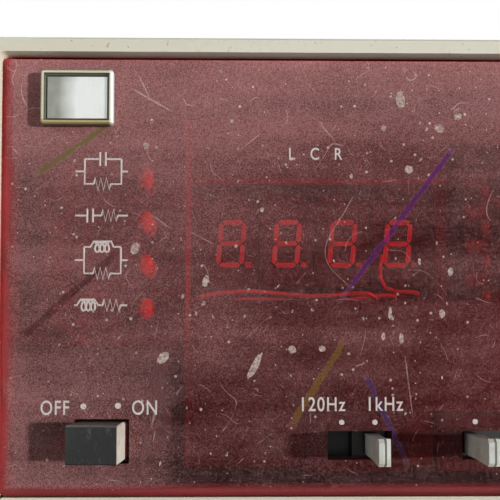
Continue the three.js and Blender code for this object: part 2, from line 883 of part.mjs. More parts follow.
function makeLoom() {
  const plug = block(about(plugX, wirePlugWidth), plugY, about(plugZ, wirePlugHeight));
  const wires = wireRuns.map(([start, ...points]) => {
    const run = points.map(([share, depth, rise]) => [
      mainDisplayLeft + share * mainDisplayWidth,
      depth,
      displayZ[0] + rise * lengthOf(displayZ),
    ]);
    const first = [plugX + start * wirePlugWidth, middleOf(plugY), plugZ];
    const route = [first, ...run].map((point) => new THREE.Vector3(...point));
    return wireAlong(route, wireDiameter, 3 * wireDiameter);
  });
  return join([plug, ...wires]);
}

// Terminal panel with five binding posts and two zero knobs
const terminalZ = panelBottom + terminalRowHeight;
const terminalsX = windowHalf - terminalsShare * windowWidth;
const terminalXs = Array.from({ length: terminalCount }, (_, i) => {
  const place = i - (terminalCount - 1) / 2;
  return terminalsX + place * terminalPitch;
});
const knobXs = [0, 1].map((i) => windowLeft + zeroKnobFromLeft + i * zeroKnobPitch);

function makePanel() {
  const outline = roundedShape([windowLeft, windowHalf], [panelBottom, panelTop], panelCornerRadius);
  const panelY = from(panelSetBack, panelThickness);
  const through = grow(panelY, cutOverrun);
  const tailHoles = terminalXs.map(
    (x) => rodY(terminalTailRadius + clearance, x, through, terminalZ, smallSegments),
  );
  const bushHoles = knobXs.map((x) => rodY(bushRadius + clearance, x, through, terminalZ));
  return cut(alongY(outline, panelY), [...tailHoles, ...bushHoles]);
}

const baseY = [panelSetBack - clearance - terminalBaseThickness, panelSetBack - clearance];
const bossFront = baseY[0] - terminalBossLength;

function makeTerminalBlock() {
  const width = (terminalCount - 1) * terminalPitch + terminalBaseHeight;
  const x = about(middleOf([terminalXs[0], terminalXs[terminalCount - 1]]), width);
  const base = alongY(
    roundedShape(x, about(terminalZ, terminalBaseHeight), terminalBaseHeight / 4),
    baseY,
    frameEdgeRound,
  );
  const posts = terminalXs.flatMap((place) => [
    rodY(terminalBossRadius, place, [bossFront, middleOf(baseY)], terminalZ, bossSegments),
    rodY(studRadius, place, [bossFront - studLength, middleOf(baseY)], terminalZ, smallSegments),
    rodY(
      terminalTailRadius,
      place,
      [middleOf(baseY), panelBack + terminalTailLength],
      terminalZ,
      smallSegments,
    ),
  ]);
  return join([base, ...posts]);
}

const capBack = bossFront - clearance;
const capFront = capBack - capLength;

function makeTerminalCap(index) {
  const x = terminalXs[index];
  const capCore = capRadius - capFluteDepth * 2;
  const grip = alongY(flutedShape(capRadius, capFluteDepth, capFlutes, x, terminalZ), [
    capFront + capNoseLength,
    capBack - capNeck,
  ]);
  const core = turnedY(
    [
      [0, capFront],
      [capCore - capNoseLength / 2, capFront],
      [capCore, capFront + capNoseLength],
      [capCore, capBack],
      [0, capBack],
    ],
    x,
    terminalZ,
  );
  const bore = rodY(
    studRadius + clearance,
    x,
    [capFront - cutOverrun, capBack + cutOverrun],
    terminalZ,
    smallSegments,
  );
  return cut(join([grip, core]), [bore]);
}

const knobBack = panelSetBack - 2 * clearance;

function makeZeroKnob(index) {
  const x = knobXs[index];
  const skirtFront = knobBack - knobSkirtLength;
  const tip = knobBack - knobLength;
  const skirt = turnedY(
    [
      [0, skirtFront],
      [knobRadius, skirtFront],
      [knobSkirtRadius, knobBack],
      [0, knobBack],
    ],
    x,
    terminalZ,
  );
  const grip = alongY(
    flutedShape(knobRadius, knobFluteDepth, knobFlutes, x, terminalZ),
    [tip, skirtFront + frameEdgeRound],
  );
  const shaft = rodY(shaftRadius, x, [skirtFront, panelBack + potLength / 2], terminalZ, smallSegments);
  const pointer = block(
    about(x, knobPointerWidth),
    [tip - cutOverrun, tip + knobPointerDepth],
    [terminalZ + shaftRadius / 2, terminalZ + knobRadius + cutOverrun],
  );
  return cut(join([skirt, grip, shaft]), [pointer]);
}

function makeZeroPot(index) {
  const x = knobXs[index];
  const bodyFront = panelBack + clearance;
  const can = rodY(potRadius, x, from(bodyFront, potLength), terminalZ);
  const bush = rodY(bushRadius, x, [panelSetBack, bodyFront + potLength / 2], terminalZ);
  const boreY = [panelSetBack - cutOverrun, panelBack + potLength / 2 + clearance];
  return cut(join([can, bush]), [rodY(shaftRadius + clearance, x, boreY, terminalZ)]);
}

// Side castings: a rail all round, a pocket for the side cover, and ledges for the top and bottom covers
const pocketY = [sideFront + sideEndWall, sideRear - sideEndWall];
const pocketZ = [footHeight + sideRail, bodyTop - sideRail];

function makeSideFrame(side) {
  const wallX = side < 0 ? [-halfWidth, -sideInner] : [sideInner, halfWidth];
  const outline = roundedShape([sideFront, sideRear], [footHeight, bodyTop], windowCornerRadius);
  const wall = alongX(outline, wallX);
  const outer = side * halfWidth;
  const pocketX = [outer - side * sidePocketDepth, outer + side * cutOverrun].sort((a, b) => a - b);
  const pocket = block(pocketX, pocketY, pocketZ);
  const hole = block(grow(wallX, cutOverrun), grow(pocketY, -sideLip), grow(pocketZ, -sideLip));
  const ledgeX = [
    side * (sideInner + sideThickness / 2),
    side * (sideInner - coverLedgeWidth),
  ].sort((a, b) => a - b);
  const ledges = [
    coverTopZ - coverThickness - clearance - coverLedgeThickness,
    footHeight + coverSetDown + coverThickness + clearance,
  ].map((z) => block(ledgeX, [sideFront, sideRear], from(z, coverLedgeThickness)));
  return join([cut(wall, [pocket, hole]), ...ledges]);
}

function makeSideCover(side) {
  const outer = side * (halfWidth - sidePocketDepth + clearance);
  const x = [outer, outer + side * coverThickness].sort((a, b) => a - b);
  const shape = roundedShape(grow(pocketY, -clearance), grow(pocketZ, -clearance), windowCornerRadius);
  return alongX(shape, x);
}

// Top and bottom covers: flat sheets with two fields of round-ended vents
function ventSlots(z) {
  const slots = [];
  for (const side of [-1, 1]) {
    for (let i = 0; i < ventCount; i++) {
      const y = middleOf([sideFront, sideRear]) + ventFieldShift + (i - (ventCount - 1) / 2) * ventPitch;
      const shape = roundedShape(
        about(side * ventFieldOffset, ventLength),
        about(y, ventWidth),
        ventWidth / 2,
      );
      slots.push(alongZ(shape, z, 0, ventEndSegments));
    }
  }
  return slots;
}

function makeCover(z0) {
  const z = from(z0, coverThickness);
  const sheet = block(about(0, 2 * coverHalf), [sideFront, sideRear], z);
  return cut(sheet, ventSlots(grow(z, cutOverrun)));
}

// Rear casting with four corner bumpers, and the rear panel inside it
const rearOpeningX = about(0, cabinetWidth - 2 * (frameRailSide + ledgeWidth));
const rearOpeningZ = [footHeight + frameRailSide + ledgeWidth, bodyTop - frameRailSide - ledgeWidth];
const rearRecess = [rearPanelFront - clearance, rearFace + cutOverrun];

function makeRearFrame() {
  const outline = roundedShape(about(0, cabinetWidth), [footHeight, bodyTop], frameCornerRadius);
  const ring = alongY(outline, [rearFrameFront, rearFace], frameEdgeRound);
  const opening = block(rearOpeningX, grow([rearFrameFront, rearFace], cutOverrun), rearOpeningZ);
  const recess = block(grow(rearOpeningX, ledgeWidth), rearRecess, grow(rearOpeningZ, ledgeWidth));
  const bumperY = [rearFace - frameEdgeRound, rearFace + bumperLength];
  const bumpers = [-1, 1].flatMap((side) =>
    [footHeight, bodyTop - bumperSize].map((z) => {
      const x = side < 0 ? from(-halfWidth, bumperSize) : [halfWidth - bumperSize, halfWidth];
      return alongY(roundedShape(x, from(z, bumperSize), bumperCornerRadius), bumperY);
    }),
  );
  return join([cut(ring, [opening, recess]), ...bumpers]);
}

const rearBoundsX = grow(rearOpeningX, ledgeWidth - clearance);
const rearBoundsZ = grow(rearOpeningZ, ledgeWidth - clearance);
const fittingZ = footHeight + inletFromBottom;
const inletX = halfWidth - inletFromRight;
const fuseX = halfWidth - fuseFromRight;
const selectorX = halfWidth - selectorFromRight;
const rearPanelY = [rearPanelFront, rearPanelBack];
const fittingFace = rearPanelBack + clearance;

function makeRearPanel() {
  const notch = bumperSize + clearance - frameRailSide;
  const sheet = block(rearBoundsX, rearPanelY, rearBoundsZ);
  const through = grow(rearPanelY, cutOverrun);
  const corners = rearBoundsX.flatMap(
    (x) => rearBoundsZ.map((z) => block(about(x, 2 * notch), through, about(z, 2 * notch))),
  );
  return cut(sheet, [
    ...corners,
    block(about(inletX, inletWidth + 2 * clearance), through, about(fittingZ, inletHeight + 2 * clearance)),
    rodY(fuseBarrelRadius + clearance, fuseX, through, fittingZ),
    block(
      about(selectorX, selectorWidth + 2 * clearance),
      through,
      about(fittingZ, selectorHeight + 2 * clearance),
    ),
  ]);
}

function makeInlet() {
  const flangeY = from(fittingFace, inletFlange);
  const flange = alongY(
    roundedShape(about(inletX, inletFlangeWidth), about(fittingZ, inletFlangeHeight), inletFlange * 2),
    flangeY,
  );
  const front = flangeY[1] - inletDepth;
  const housing = block(
    about(inletX, inletWidth),
    [front, middleOf(flangeY)],
    about(fittingZ, inletHeight),
  );
  const cavityFloor = flangeY[1] - inletCavityDepth;
  const cavity = alongY(
    roundedShape(about(inletX, inletCavityWidth), about(fittingZ, inletCavityHeight), inletFlange),
    [cavityFloor, flangeY[1] + cutOverrun],
  );
  const pinY = [cavityFloor - inletFlange / 2, cavityFloor + pinLength];
  const places = [
    [-pinSpacing / 2, -pinDrop],
    [pinSpacing / 2, -pinDrop],
    [0, earthPinRise],
  ];
  const pins = places.map(
    ([x, z]) => block(about(inletX + x, pinWidth), pinY, about(fittingZ + z, pinHeight)),
  );
  return join([cut(join([flange, housing]), [cavity]), ...pins]);
}

function makeFuseHolder() {
  const flange = rodY(fuseFlangeRadius, fuseX, from(fittingFace, fuseFlangeThickness), fittingZ);
  const barrelY = [
    fittingFace + fuseFlangeThickness - fuseBarrelLength,
    fittingFace + fuseFlangeThickness / 2,
  ];
  const barrel = rodY(fuseBarrelRadius, fuseX, barrelY, fittingZ);
  const back = fittingFace + fuseFlangeThickness;
  const bore = rodY(
    fuseStemRadius + clearance,
    fuseX,
    [back - fuseStemLength - 2 * clearance, back + cutOverrun],
    fittingZ,
  );
  return cut(join([flange, barrel]), [bore]);
}

function makeFuseCap() {
  const seat = fittingFace + fuseFlangeThickness + clearance;
  const knob = turnedY(
    [
      [0, seat],
      [fuseCapRadius, seat],
      [fuseCapRadius - fuseSlotDepth / 2, seat + fuseCapLength],
      [0, seat + fuseCapLength],
    ],
    fuseX,
    fittingZ,
  );
  const stem = rodY(fuseStemRadius, fuseX, [seat - fuseStemLength, seat + fuseCapLength / 2], fittingZ);
  const slotY = [seat + fuseCapLength - fuseSlotDepth, seat + fuseCapLength + cutOverrun];
  const slot = block(about(fuseX, 2 * (fuseCapRadius + cutOverrun)), slotY, about(fittingZ, fuseSlotWidth));
  return cut(join([knob, stem]), [slot]);
}

const selectorFace = fittingFace + selectorFlange;
const selectorFloor = selectorFace - selectorDepth / 2;

function makeSelectorBody() {
  const flange = block(
    about(selectorX, selectorWidth + 4 * selectorFlange),
    [fittingFace, selectorFace],
    about(fittingZ, selectorHeight + 4 * selectorFlange),
  );
  const housing = block(
    about(selectorX, selectorWidth),
    [selectorFace - selectorDepth, fittingFace + selectorFlange / 2],
    about(fittingZ, selectorHeight),
  );
  const slotX = about(selectorX, selectorSlotWidth);
  const slot = block(
    slotX,
    [selectorFloor, selectorFace + cutOverrun],
    about(fittingZ, selectorSlotHeight),
  );
  return cut(join([flange, housing]), [slot]);
}

function makeSelectorSlide() {
  const x = about(selectorX - selectorTravel / 2, selectorKnob);
  const y = [selectorFloor + clearance, selectorFace + selectorKnobProud];
  const knob = block(x, y, about(fittingZ, selectorKnobHeight));
  const groove = block(
    about(selectorX - selectorTravel / 2, selectorKnob + cutOverrun),
    [y[1] - selectorGrooveDepth, y[1] + cutOverrun],
    about(fittingZ, selectorGrooveWidth),
  );
  return cut(knob, [groove]);
}

// Inner parts, standing on the bottom cover
const chassisZ = footHeight + coverSetDown + coverThickness + clearance;

function makeTransformer() {
  const x = halfWidth - transformerFromRight;
  const y = rearFace - transformerFromRear;
  const lamination = block(
    about(x, transformerWidth),
    about(y, transformerDepth),
    from(chassisZ, transformerHeight),
  );
  const coilZ = about(chassisZ + transformerHeight / 2, coilHeight);
  const coil = block(about(x, coilWidth), about(y, transformerDepth + 2 * coilOverhang), coilZ);
  const feet = block(
    about(x, transformerWidth + 2 * transformerFootReach),
    about(y, transformerDepth / 2),
    from(chassisZ, transformerFoot),
  );
  return join([lamination, coil, feet]);
}

function makeMainBoard() {
  const coilFront = rearFace - transformerFromRear - transformerDepth / 2 - coilOverhang;
  const boardY = [frontFace + mainBoardFromFront, coilFront - mainBoardGap];
  const boardX = about(0, 2 * (sideInner - mainBoardMargin));
  const boardLift = from(chassisZ + mainBoardHeight, boardThickness);
  const onBoard = middleOf(boardLift);
  const posts = grow(boardX, -boardPostInset).flatMap((x) =>
    grow(boardY, -boardPostInset).map((y) => rodZ(postRadius, x, y, [chassisZ, onBoard], smallSegments)),
  );
  const relayPitch = (lengthOf(boardX) - 2 * boardPostInset - relayWidth) / (relayCount - 1);
  const relayY = from(boardY[0] + boardPostInset, relayDepth);
  const relays = Array.from({ length: relayCount }, (_, i) => {
    const x = (i - (relayCount - 1) / 2) * relayPitch;
    return block(about(x, relayWidth), relayY, from(onBoard, relayHeight));
  });
  const workY = [relayY[1] + boardPostInset, boardY[1] - boardPostInset];
  const shieldX = from(boardX[0] + 2 * boardPostInset, shieldWidthShare * lengthOf(boardX));
  const shieldY = about(middleOf(workY), shieldDepthShare * lengthOf(workY));
  const shield = block(shieldX, shieldY, from(onBoard, shieldHeight));
  const lastCapacitorX = boardX[1] - boardPostInset - capacitorRadius;
  const capacitorPitch = (lastCapacitorX - shieldX[1]) / capacitorCount;
  const capacitors = Array.from({ length: capacitorCount }, (_, i) => {
    const x = lastCapacitorX - i * capacitorPitch;
    return rodZ(capacitorRadius, x, middleOf(workY), from(onBoard, capacitorHeight), smallSegments);
  });
  return join([block(boardX, boardY, boardLift), ...posts, ...relays, shield, ...capacitors]);
}

// Feet: tapered blocks with a smaller pad; the front pair carries the tilt stand
const footTop = footHeight - clearance;
const footFrontY = frontFace + footFromFront;
const footRearY = rearFace - footFromRear - footLength;
const standY = footFrontY + standPivotBack;

function makeFoot(side, front) {
  const centreX = side * (halfWidth - footFromSide - footWidth / 2);
  const y = from(front, footLength);
  const x = about(centreX, footWidth);
  const body = taperedZ(
    roundedShape(x, y, footRound),
    [footPadHeight, footTop],
    [centreX, middleOf(y)],
    footTaper,
  );
  const inset = footTaper + footPadInset;
  const pad = alongZ(
    roundedShape(grow(x, -inset), grow(y, -inset), footRound - footTaper),
    [0, footTop / 2],
  );
  const foot = join([body, pad]);
  if (front !== footFrontY) return foot;
  const inner = centreX - (side * footWidth) / 2;
  const holeX = [
    inner + side * (standPinLength + clearance),
    inner - side * cutOverrun,
  ].sort((a, b) => a - b);
  return cut(foot, [rodX(standWire / 2 + clearance, holeX, standY, standPivotHeight, smallSegments)]);
}

function makeTiltStand() {
  const inner = halfWidth - footFromSide - footWidth;
  const legX = inner - clearance - standWire;
  const z = standPivotHeight;
  const end = standY + standLegLength;
  const path = new THREE.CurvePath();
  const at = (x, y) => new THREE.Vector3(x, y, z);
  const corner = (a, b, c) => path.add(new THREE.QuadraticBezierCurve3(a, b, c));
  const line = (a, b) => path.add(new THREE.LineCurve3(a, b));
  const small = standWire * 0.75;
  line(at(inner + standPinLength, standY), at(legX + small, standY));
  corner(at(legX + small, standY), at(legX, standY), at(legX, standY + small));
  line(at(legX, standY + small), at(legX, end - standBend));
  corner(at(legX, end - standBend), at(legX, end), at(legX - standBend, end));
  line(at(legX - standBend, end), at(-legX + standBend, end));
  corner(at(-legX + standBend, end), at(-legX, end), at(-legX, end - standBend));
  line(at(-legX, end - standBend), at(-legX, standY + small));
  corner(at(-legX, standY + small), at(-legX, standY), at(-legX - small, standY));
  line(at(-legX - small, standY), at(-inner - standPinLength, standY));
  const section = new THREE.Shape();
  section.absarc(0, 0, standWire / 2, 0, Math.PI * 2);
  const steps = Math.ceil(path.getLength() / (1.5 * standWire));
  return toSolid(
    new THREE.ExtrudeGeometry(section, { steps, curveSegments: 4, bevelEnabled: false, extrudePath: path }),
  );
}

// Finishes
const finishes = {
  castCream: { color: 0xe9e2cf, roughness: 0.55, metalness: 0.1 },
  redAcrylic: { color: 0x8e2226, roughness: 0.25, metalness: 0 },
  panelCream: { color: 0xd9cdb2, roughness: 0.5, metalness: 0 },
  champagneMetal: { color: 0xc3bda9, roughness: 0.3, metalness: 0.9 },
  maskBlack: { color: 0x2a1a1b, roughness: 0.8, metalness: 0 },
  boardGreen: { color: 0x2f5a3a, roughness: 0.6, metalness: 0 },
  lensRed: { color: 0xa63a42, roughness: 0.35, metalness: 0 },
  blackPlastic: { color: 0x2e2e2c, roughness: 0.45, metalness: 0 },
  ivoryPlastic: { color: 0xd6d6cc, roughness: 0.4, metalness: 0 },
  wireSleeve: { color: 0xb04a48, roughness: 0.5, metalness: 0 },
  oliveGrey: { color: 0x6a6a58, roughness: 0.6, metalness: 0.2 },
  bareAluminium: { color: 0xb9bab6, roughness: 0.4, metalness: 0.8 },
  brightSteel: { color: 0xc9c9c5, roughness: 0.3, metalness: 0.9 },
  rubberGrey: { color: 0x55544e, roughness: 0.8, metalness: 0 },
  laminationSteel: { color: 0x5b564e, roughness: 0.6, metalness: 0.5 },
};

const instrument = new THREE.Group();
// The group's own frame puts the middle of the footprint at the origin
const depthReach = [Math.min(capFront, bossFront - studLength), rearFace + bumperLength];
const shiftY = -middleOf(depthReach);

function place(name, solid, finish) {
  const mesh = new THREE.Mesh(toGeometry(solid), new THREE.MeshStandardMaterial(finishes[finish]));
  mesh.name = name;
  mesh.position.set(0, shiftY, 0);
  instrument.add(mesh);
}

place("front_frame", makeFrontFrame(), "castCream");
place("display_window", makeWindow(), "redAcrylic");
place("badge_bezel", makeBadgeBezel(), "champagneMetal");
place("badge_plate", makeBadgePlate(), "bareAluminium");
place("display_mask", makeMask(), "maskBlack");
place("display_board", makeDisplayBoard(), "boardGreen");
for (let i = 0; i < 4; i++) {
  place(`digit_${i + 1}`, makeDigit(i), "lensRed");
  place(`mode_lamp_${i + 1}`, makeModeLamp(i), "lensRed");
}
place("loss_display", makeLossDisplay(), "lensRed");
place("unit_lamp_strip", makeUnitStrip(), "lensRed");
place("display_wires", makeLoom(), "wireSleeve");
place("power_rocker", makeRocker(), "blackPlastic");
place("power_switch_body", makeRockerBody(), "blackPlastic");
for (const [name, slide] of Object.entries(slideSwitches)) {
  place(`${name}_lever`, makeLever(slide), "ivoryPlastic");
  place(`${name}_switch_body`, makeSlideBody(slide), "blackPlastic");
}
place("test_button", makeButton(), "ivoryPlastic");
place("test_button_body", makeButtonBody(), "blackPlastic");
place("terminal_panel", makePanel(), "panelCream");
place("terminal_block", makeTerminalBlock(), "blackPlastic");
for (let i = 0; i < terminalCount; i++) place(`terminal_cap_${i + 1}`, makeTerminalCap(i), "blackPlastic");
["left", "right"].forEach((side, i) => {
  place(`zero_knob_${side}`, makeZeroKnob(i), "blackPlastic");
  place(`zero_pot_${side}`, makeZeroPot(i), "bareAluminium");
  place(`side_frame_${side}`, makeSideFrame(2 * i - 1), "bareAluminium");
  place(`side_cover_${side}`, makeSideCover(2 * i - 1), "oliveGrey");
  place(`front_foot_${side}`, makeFoot(2 * i - 1, footFrontY), "rubberGrey");
  place(`rear_foot_${side}`, makeFoot(2 * i - 1, footRearY), "rubberGrey");
});
place("top_cover", makeCover(coverTopZ - coverThickness), "oliveGrey");
place("bottom_cover", makeCover(footHeight + coverSetDown), "oliveGrey");
place("rear_frame", makeRearFrame(), "castCream");
place("rear_panel", makeRearPanel(), "bareAluminium");
place("power_inlet", makeInlet(), "blackPlastic");
place("fuse_holder", makeFuseHolder(), "blackPlastic");
place("fuse_cap", makeFuseCap(), "blackPlastic");
place("voltage_selector", makeSelectorBody(), "blackPlastic");
place("voltage_slide", makeSelectorSlide(), "ivoryPlastic");
place("power_transformer", makeTransformer(), "laminationSteel");
place("main_board", makeMainBoard(), "boardGreen");
place("tilt_stand", makeTiltStand(), "brightSteel");

export default instrument;
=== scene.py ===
"""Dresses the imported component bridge: finishes, front printing, settled dust, small fasteners, lights and camera."""
import math
import random

import bmesh
import bpy
from mathutils import Matrix, Vector


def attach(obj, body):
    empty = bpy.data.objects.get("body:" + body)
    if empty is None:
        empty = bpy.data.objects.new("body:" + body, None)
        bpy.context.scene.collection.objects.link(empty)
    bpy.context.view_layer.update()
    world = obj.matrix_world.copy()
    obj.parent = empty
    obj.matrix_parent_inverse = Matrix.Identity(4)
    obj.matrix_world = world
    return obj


MM = 0.001

# Places on the front, in millimetres, as the part's source has them
WINDOW_FACE = -155.15
WINDOW_BACK = -152.25
WINDOW_LEFT = -102.5
WINDOW_BOTTOM = 52.1
WINDOW_TOP = 143.5
SEGMENT_STEP = -148.3
PANEL_FACE = -154.8

# The photograph is read at the window's face: 0.208 mm for each pixel
PHOTO_SCALE = 0.208
PHOTO_RIGHT = 495
PHOTO_TOP = 38
CABINET_TOP = 147


def at_pixel(across, down):
    """The millimetre place on the window's face that a pixel of the photograph shows."""
    return (across - PHOTO_RIGHT) * PHOTO_SCALE, CABINET_TOP - (down - PHOTO_TOP) * PHOTO_SCALE


def paint(red, green, blue):
    """A screen colour, 0 to 255 a channel, as the linear colour that a shader takes."""
    linear = []
    for part in (red, green, blue):
        share = part / 255
        linear.append(share / 12.92 if share <= 0.04045 else ((share + 0.055) / 1.055) ** 2.4)
    return (*linear, 1.0)


class Nodes:
    """Puts a node tree together."""

    def __init__(self, tree):
        self.tree = tree
        self.tree.nodes.clear()

    def feed(self, socket, value):
        if isinstance(value, bpy.types.NodeSocket):
            self.tree.links.new(value, socket)
        else:
            socket.default_value = value

    def add(self, kind, sockets=None, **settings):
        node = self.tree.nodes.new("ShaderNode" + kind)
        for name, value in settings.items():
            setattr(node, name, value)
        for key, value in (sockets or {}).items():
            self.feed(node.inputs[key], value)
        return node

    def spread(self, value, low, high, bottom=0.0, top=1.0):
        """A value that goes from bottom to top while another one goes from low to high."""
        sockets = {"Value": value, "From Min": low, "From Max": high, "To Min": bottom, "To Max": top}
        return self.add("MapRange", sockets, clamp=True).outputs[0]

    def sums(self, how, first, second=0.0):
        return self.add("Math", {0: first, 1: second}, operation=how, use_clamp=False).outputs[0]

    def chain(self, how, first, *others):
        total = first
        for other in others:
            total = self.sums(how, total, other)
        return total

    def all_of(self, *shares):
        """The share in which all of these hold."""
        return self.chain("MULTIPLY", *shares)

    def any_of(self, *shares):
        """The share in which any of these holds."""
        return self.chain("MAXIMUM", *shares)

    def looked_at(self):
        """1 for the rays by which the camera sees, straight, mirrored or through a clear piece."""
        seen = self.add("LightPath").outputs
        return self.any_of(seen["Is Camera Ray"], seen["Is Glossy Ray"], seen["Is Transmission Ray"])


class Finish(Nodes):
    """One procedural material, which reads the object's own place."""

    def __init__(self, name):
        self.material = bpy.data.materials.new(name)
        self.material.use_nodes = True
        super().__init__(self.material.node_tree)
        self.place = self.add("TexCoord").outputs["Object"]

    def stretched(self, x, y, z, turn=0.0):
        sockets = {"Vector": self.place, "Scale": (x, y, z), "Rotation": (0, turn, 0)}
        return self.add("Mapping", sockets).outputs[0]

    def noise(self, scale, detail, roughness=0.55, where=None, distortion=0.0):
        sockets = {"Vector": where or self.place, "Scale": scale, "Detail": detail,
                   "Roughness": roughness, "Distortion": distortion}
        return self.add("TexNoise", sockets).outputs[0]

    def cells(self, scale, feature):
        sockets = {"Vector": self.place, "Scale": scale, "Randomness": 1.0}
        return self.add("TexVoronoi", sockets, feature=feature).outputs["Distance"]

    def blend(self, share, first, second):
        node = self.add("Mix", data_type="RGBA")
        for index, value in ((0, share), (6, first), (7, second)):
            self.feed(node.inputs[index], value)
        return node.outputs[2]

    def along(self, letter):
        return self.add("SeparateXYZ", {0: self.place}).outputs[letter]

    def tilt(self, letter):
        """How far the surface looks along an axis, with its sign."""
        return self.add("SeparateXYZ", {0: self.add("TexCoord").outputs["Normal"]}).outputs[letter]

    def facing(self, letter):
        return self.sums("ABSOLUTE", self.tilt(letter))

    def fade(self, letter, start, end, bottom=0.0, top=1.0):
        """A value that goes from bottom to top between two places along an axis, in millimetres."""
        return self.spread(self.along(letter), start * MM, end * MM, bottom, top)

    def within(self, letter, low, high, soft):
        """1 between two places along an axis, with soft ends, all in millimetres."""
        return self.all_of(self.fade(letter, low, low + soft), self.fade(letter, high, high - soft))

    def patch(self, amount, *fades):
        """An amount where all of these fades hold, each an axis and its start and end in millimetres."""
        return self.all_of(amount, *(self.fade(*one) for one in fades))

    def reach(self, across, up, start):
        """How far a point lies along a direction of the front, in millimetres."""
        turned = self.add("VectorMath", {0: self.place, 1: (across / MM, 0, up / MM)}, operation="DOT_PRODUCT")
        return self.sums("SUBTRACT", turned.outputs["Value"], start)

    def stripe(self, start, end, wide, strength):
        """A straight mark between two pixels of the photograph, fading at its sides and ends."""
        (left, low), (right, high) = at_pixel(*start), at_pixel(*end)
        length = math.hypot(right - left, high - low)
        across, up = (right - left) / length, (high - low) / length
        run = self.reach(across, up, left * across + low * up)
        off = self.sums("ABSOLUTE", self.reach(-up, across, low * across - left * up))
        off = self.sums("ADD", off, self.spread(self.noise(420, 3), 0.3, 0.7, -wide * 0.2, wide * 0.2))
        side = self.spread(off, wide * 0.5, wide * 0.3, 0.0, strength)
        return self.all_of(side, self.spread(run, 0.0, 2.0), self.spread(run, length, length * 0.85))

    def spots(self, scale, radius, kept):
        """Round specks: a share of a grid's cells, each with a dot of its own size."""
        node = self.add("TexVoronoi", {"Vector": self.place, "Scale": scale, "Randomness": 1.0})
        dot = self.spread(node.outputs["Distance"], radius, radius * 0.7)
        shade = self.add("SeparateXYZ", {0: node.outputs["Color"]}).outputs["X"]
        return self.all_of(dot, self.spread(shade, 1.0 - kept, 1.0 - kept * 0.8))

    def bump(self, height, distance, strength):
        sockets = {"Height": height, "Distance": distance, "Strength": strength}
        return self.add("Bump", sockets).outputs[0]

    def surface(self, colour, roughness, normal=None, **fixed):
        node = self.add("BsdfPrincipled", {"Base Color": colour, "Roughness": roughness})
        if normal is not None:
            self.feed(node.inputs["Normal"], normal)
        for name, value in fixed.items():
            node.inputs[name.replace("_", " ")].default_value = value
        return node.outputs[0]

    def see_through(self, tint):
        return self.add("BsdfTransparent", {"Color": tint}).outputs[0]

    def mixed(self, share, first, second):
        return self.add("MixShader", {0: share, 1: first, 2: second}).outputs[0]

    def done(self, shader):
        self.add("OutputMaterial", {"Surface": shader})
        return self.material


# Openings and fittings in the window, where nothing lies on its face: left, bottom, right, top
CONTROL_AREAS = ((-90, 55, -72, 71), (-42, 54, 100, 70), (-96.5, 126, -76.5, 142))

# The side frames' inner ends: half the width between them, their foot and head, and how far back the painted shade goes
INNER_HALF = 103.0
INNER_FOOT = 19.8
INNER_HEAD = 143.6
INNER_SHADE_BACK = -110

CREAM = (paint(243, 239, 222), paint(235, 229, 208), paint(150, 136, 104))
# Painted shade: the near-black that stands in for the unlit inside of the case
PAINTED_SHADE_BLACK = paint(24, 22, 21)
CASE_DUST = paint(176, 172, 152)
CLEAR = (1, 1, 1, 1)
ACRYLIC_TINT = (0.9, 0.25, 0.32, 1.0)

# Turns what is drawn flat, across and up, to look to the front
UPRIGHT = Matrix.Rotation(math.radians(90), 4, "X")


def inner_shade_share(made):
    """1 on the side frames' inner ends, painted near-black as shade inside the case."""
    return made.all_of(made.within("X", -INNER_HALF, INNER_HALF, 0.2), made.within("Z", INNER_FOOT, INNER_HEAD, 0.2),
                     made.fade("Y", INNER_SHADE_BACK, INNER_SHADE_BACK - 2))


def pocket_shade_share(made):
    """1 on what lies behind the window, painted near-black as shade inside the case."""
    half = 0.6 - WINDOW_LEFT
    return made.all_of(made.fade("Y", WINDOW_BACK, WINDOW_BACK + 0.1), made.within("X", -half, half, 0.1),
                     made.within("Z", WINDOW_BOTTOM - 1.2, WINDOW_TOP + 0.3, 0.2))


def cast_paint(name, colour, worn, grime, peel=900, painted_shade=None):
    """Stoved enamel over a casting: orange peel, cloudy fading, grime and small chips, and painted shade in near-black
    where asked.
    """
    made = Finish(name)
    clouds = made.spread(made.noise(14, 4), 0.35, 0.7)
    tone = made.blend(clouds, colour, worn)
    dirt = made.spread(made.noise(120, 7, 0.75), 0.56, 0.8, 0.0, 0.3)
    tone = made.blend(dirt, tone, grime)
    specks = made.spread(made.noise(950, 2), 0.68, 0.74, 0.0, 0.6)
    tone = made.blend(specks, tone, grime)
    # Painted shade: near-black over the parts that lie inside the case
    if painted_shade:
        tone = made.blend(painted_shade(made), tone, PAINTED_SHADE_BLACK)
    height = made.noise(peel, 3, 0.6)
    gloss = made.spread(made.noise(60, 4), 0.3, 0.7, 0.36, 0.58)
    return made.done(made.surface(tone, gloss, made.bump(height, 0.00012, 0.5)))


def moulded(name, colour, rubbed, roughness):
    """Moulded plastic with rubbed patches, hairline scratches and a fine grain."""
    polish = 0.12
    made = Finish(name)
    patches = made.spread(made.noise(120, 5, 0.65), 0.42, 0.72)
    tone = made.blend(patches, colour, rubbed)
    hairs = made.noise(300, 2, 0.5, made.stretched(1, 1, 9, 0.6))
    tone = made.blend(made.spread(hairs, 0.66, 0.72, 0.0, 0.5), tone, rubbed)
    gloss = made.spread(made.noise(90, 4), 0.3, 0.7, roughness - polish, roughness + polish)
    return made.done(made.surface(tone, gloss, made.bump(made.noise(1800, 3), 0.00004, 0.5)))


def brushed(name, colour, dull, across, roughness=0.38):
    """Brushed or turned metal with lines along one way and dull patches of tarnish."""
    made = Finish(name)
    lines = made.noise(260, 4, 0.6, made.stretched(*across))
    stain = made.spread(made.noise(110, 5), 0.4, 0.72)
    tone = made.blend(stain, colour, dull)
    tone = made.blend(made.spread(lines, 0.3, 0.75, 0.0, 0.45), tone, dull)
    gloss = made.spread(lines, 0.3, 0.7, roughness - 0.1, roughness + 0.14)
    return made.done(made.surface(tone, gloss, made.bump(lines, 0.00003, 0.35), Metallic=0.9))


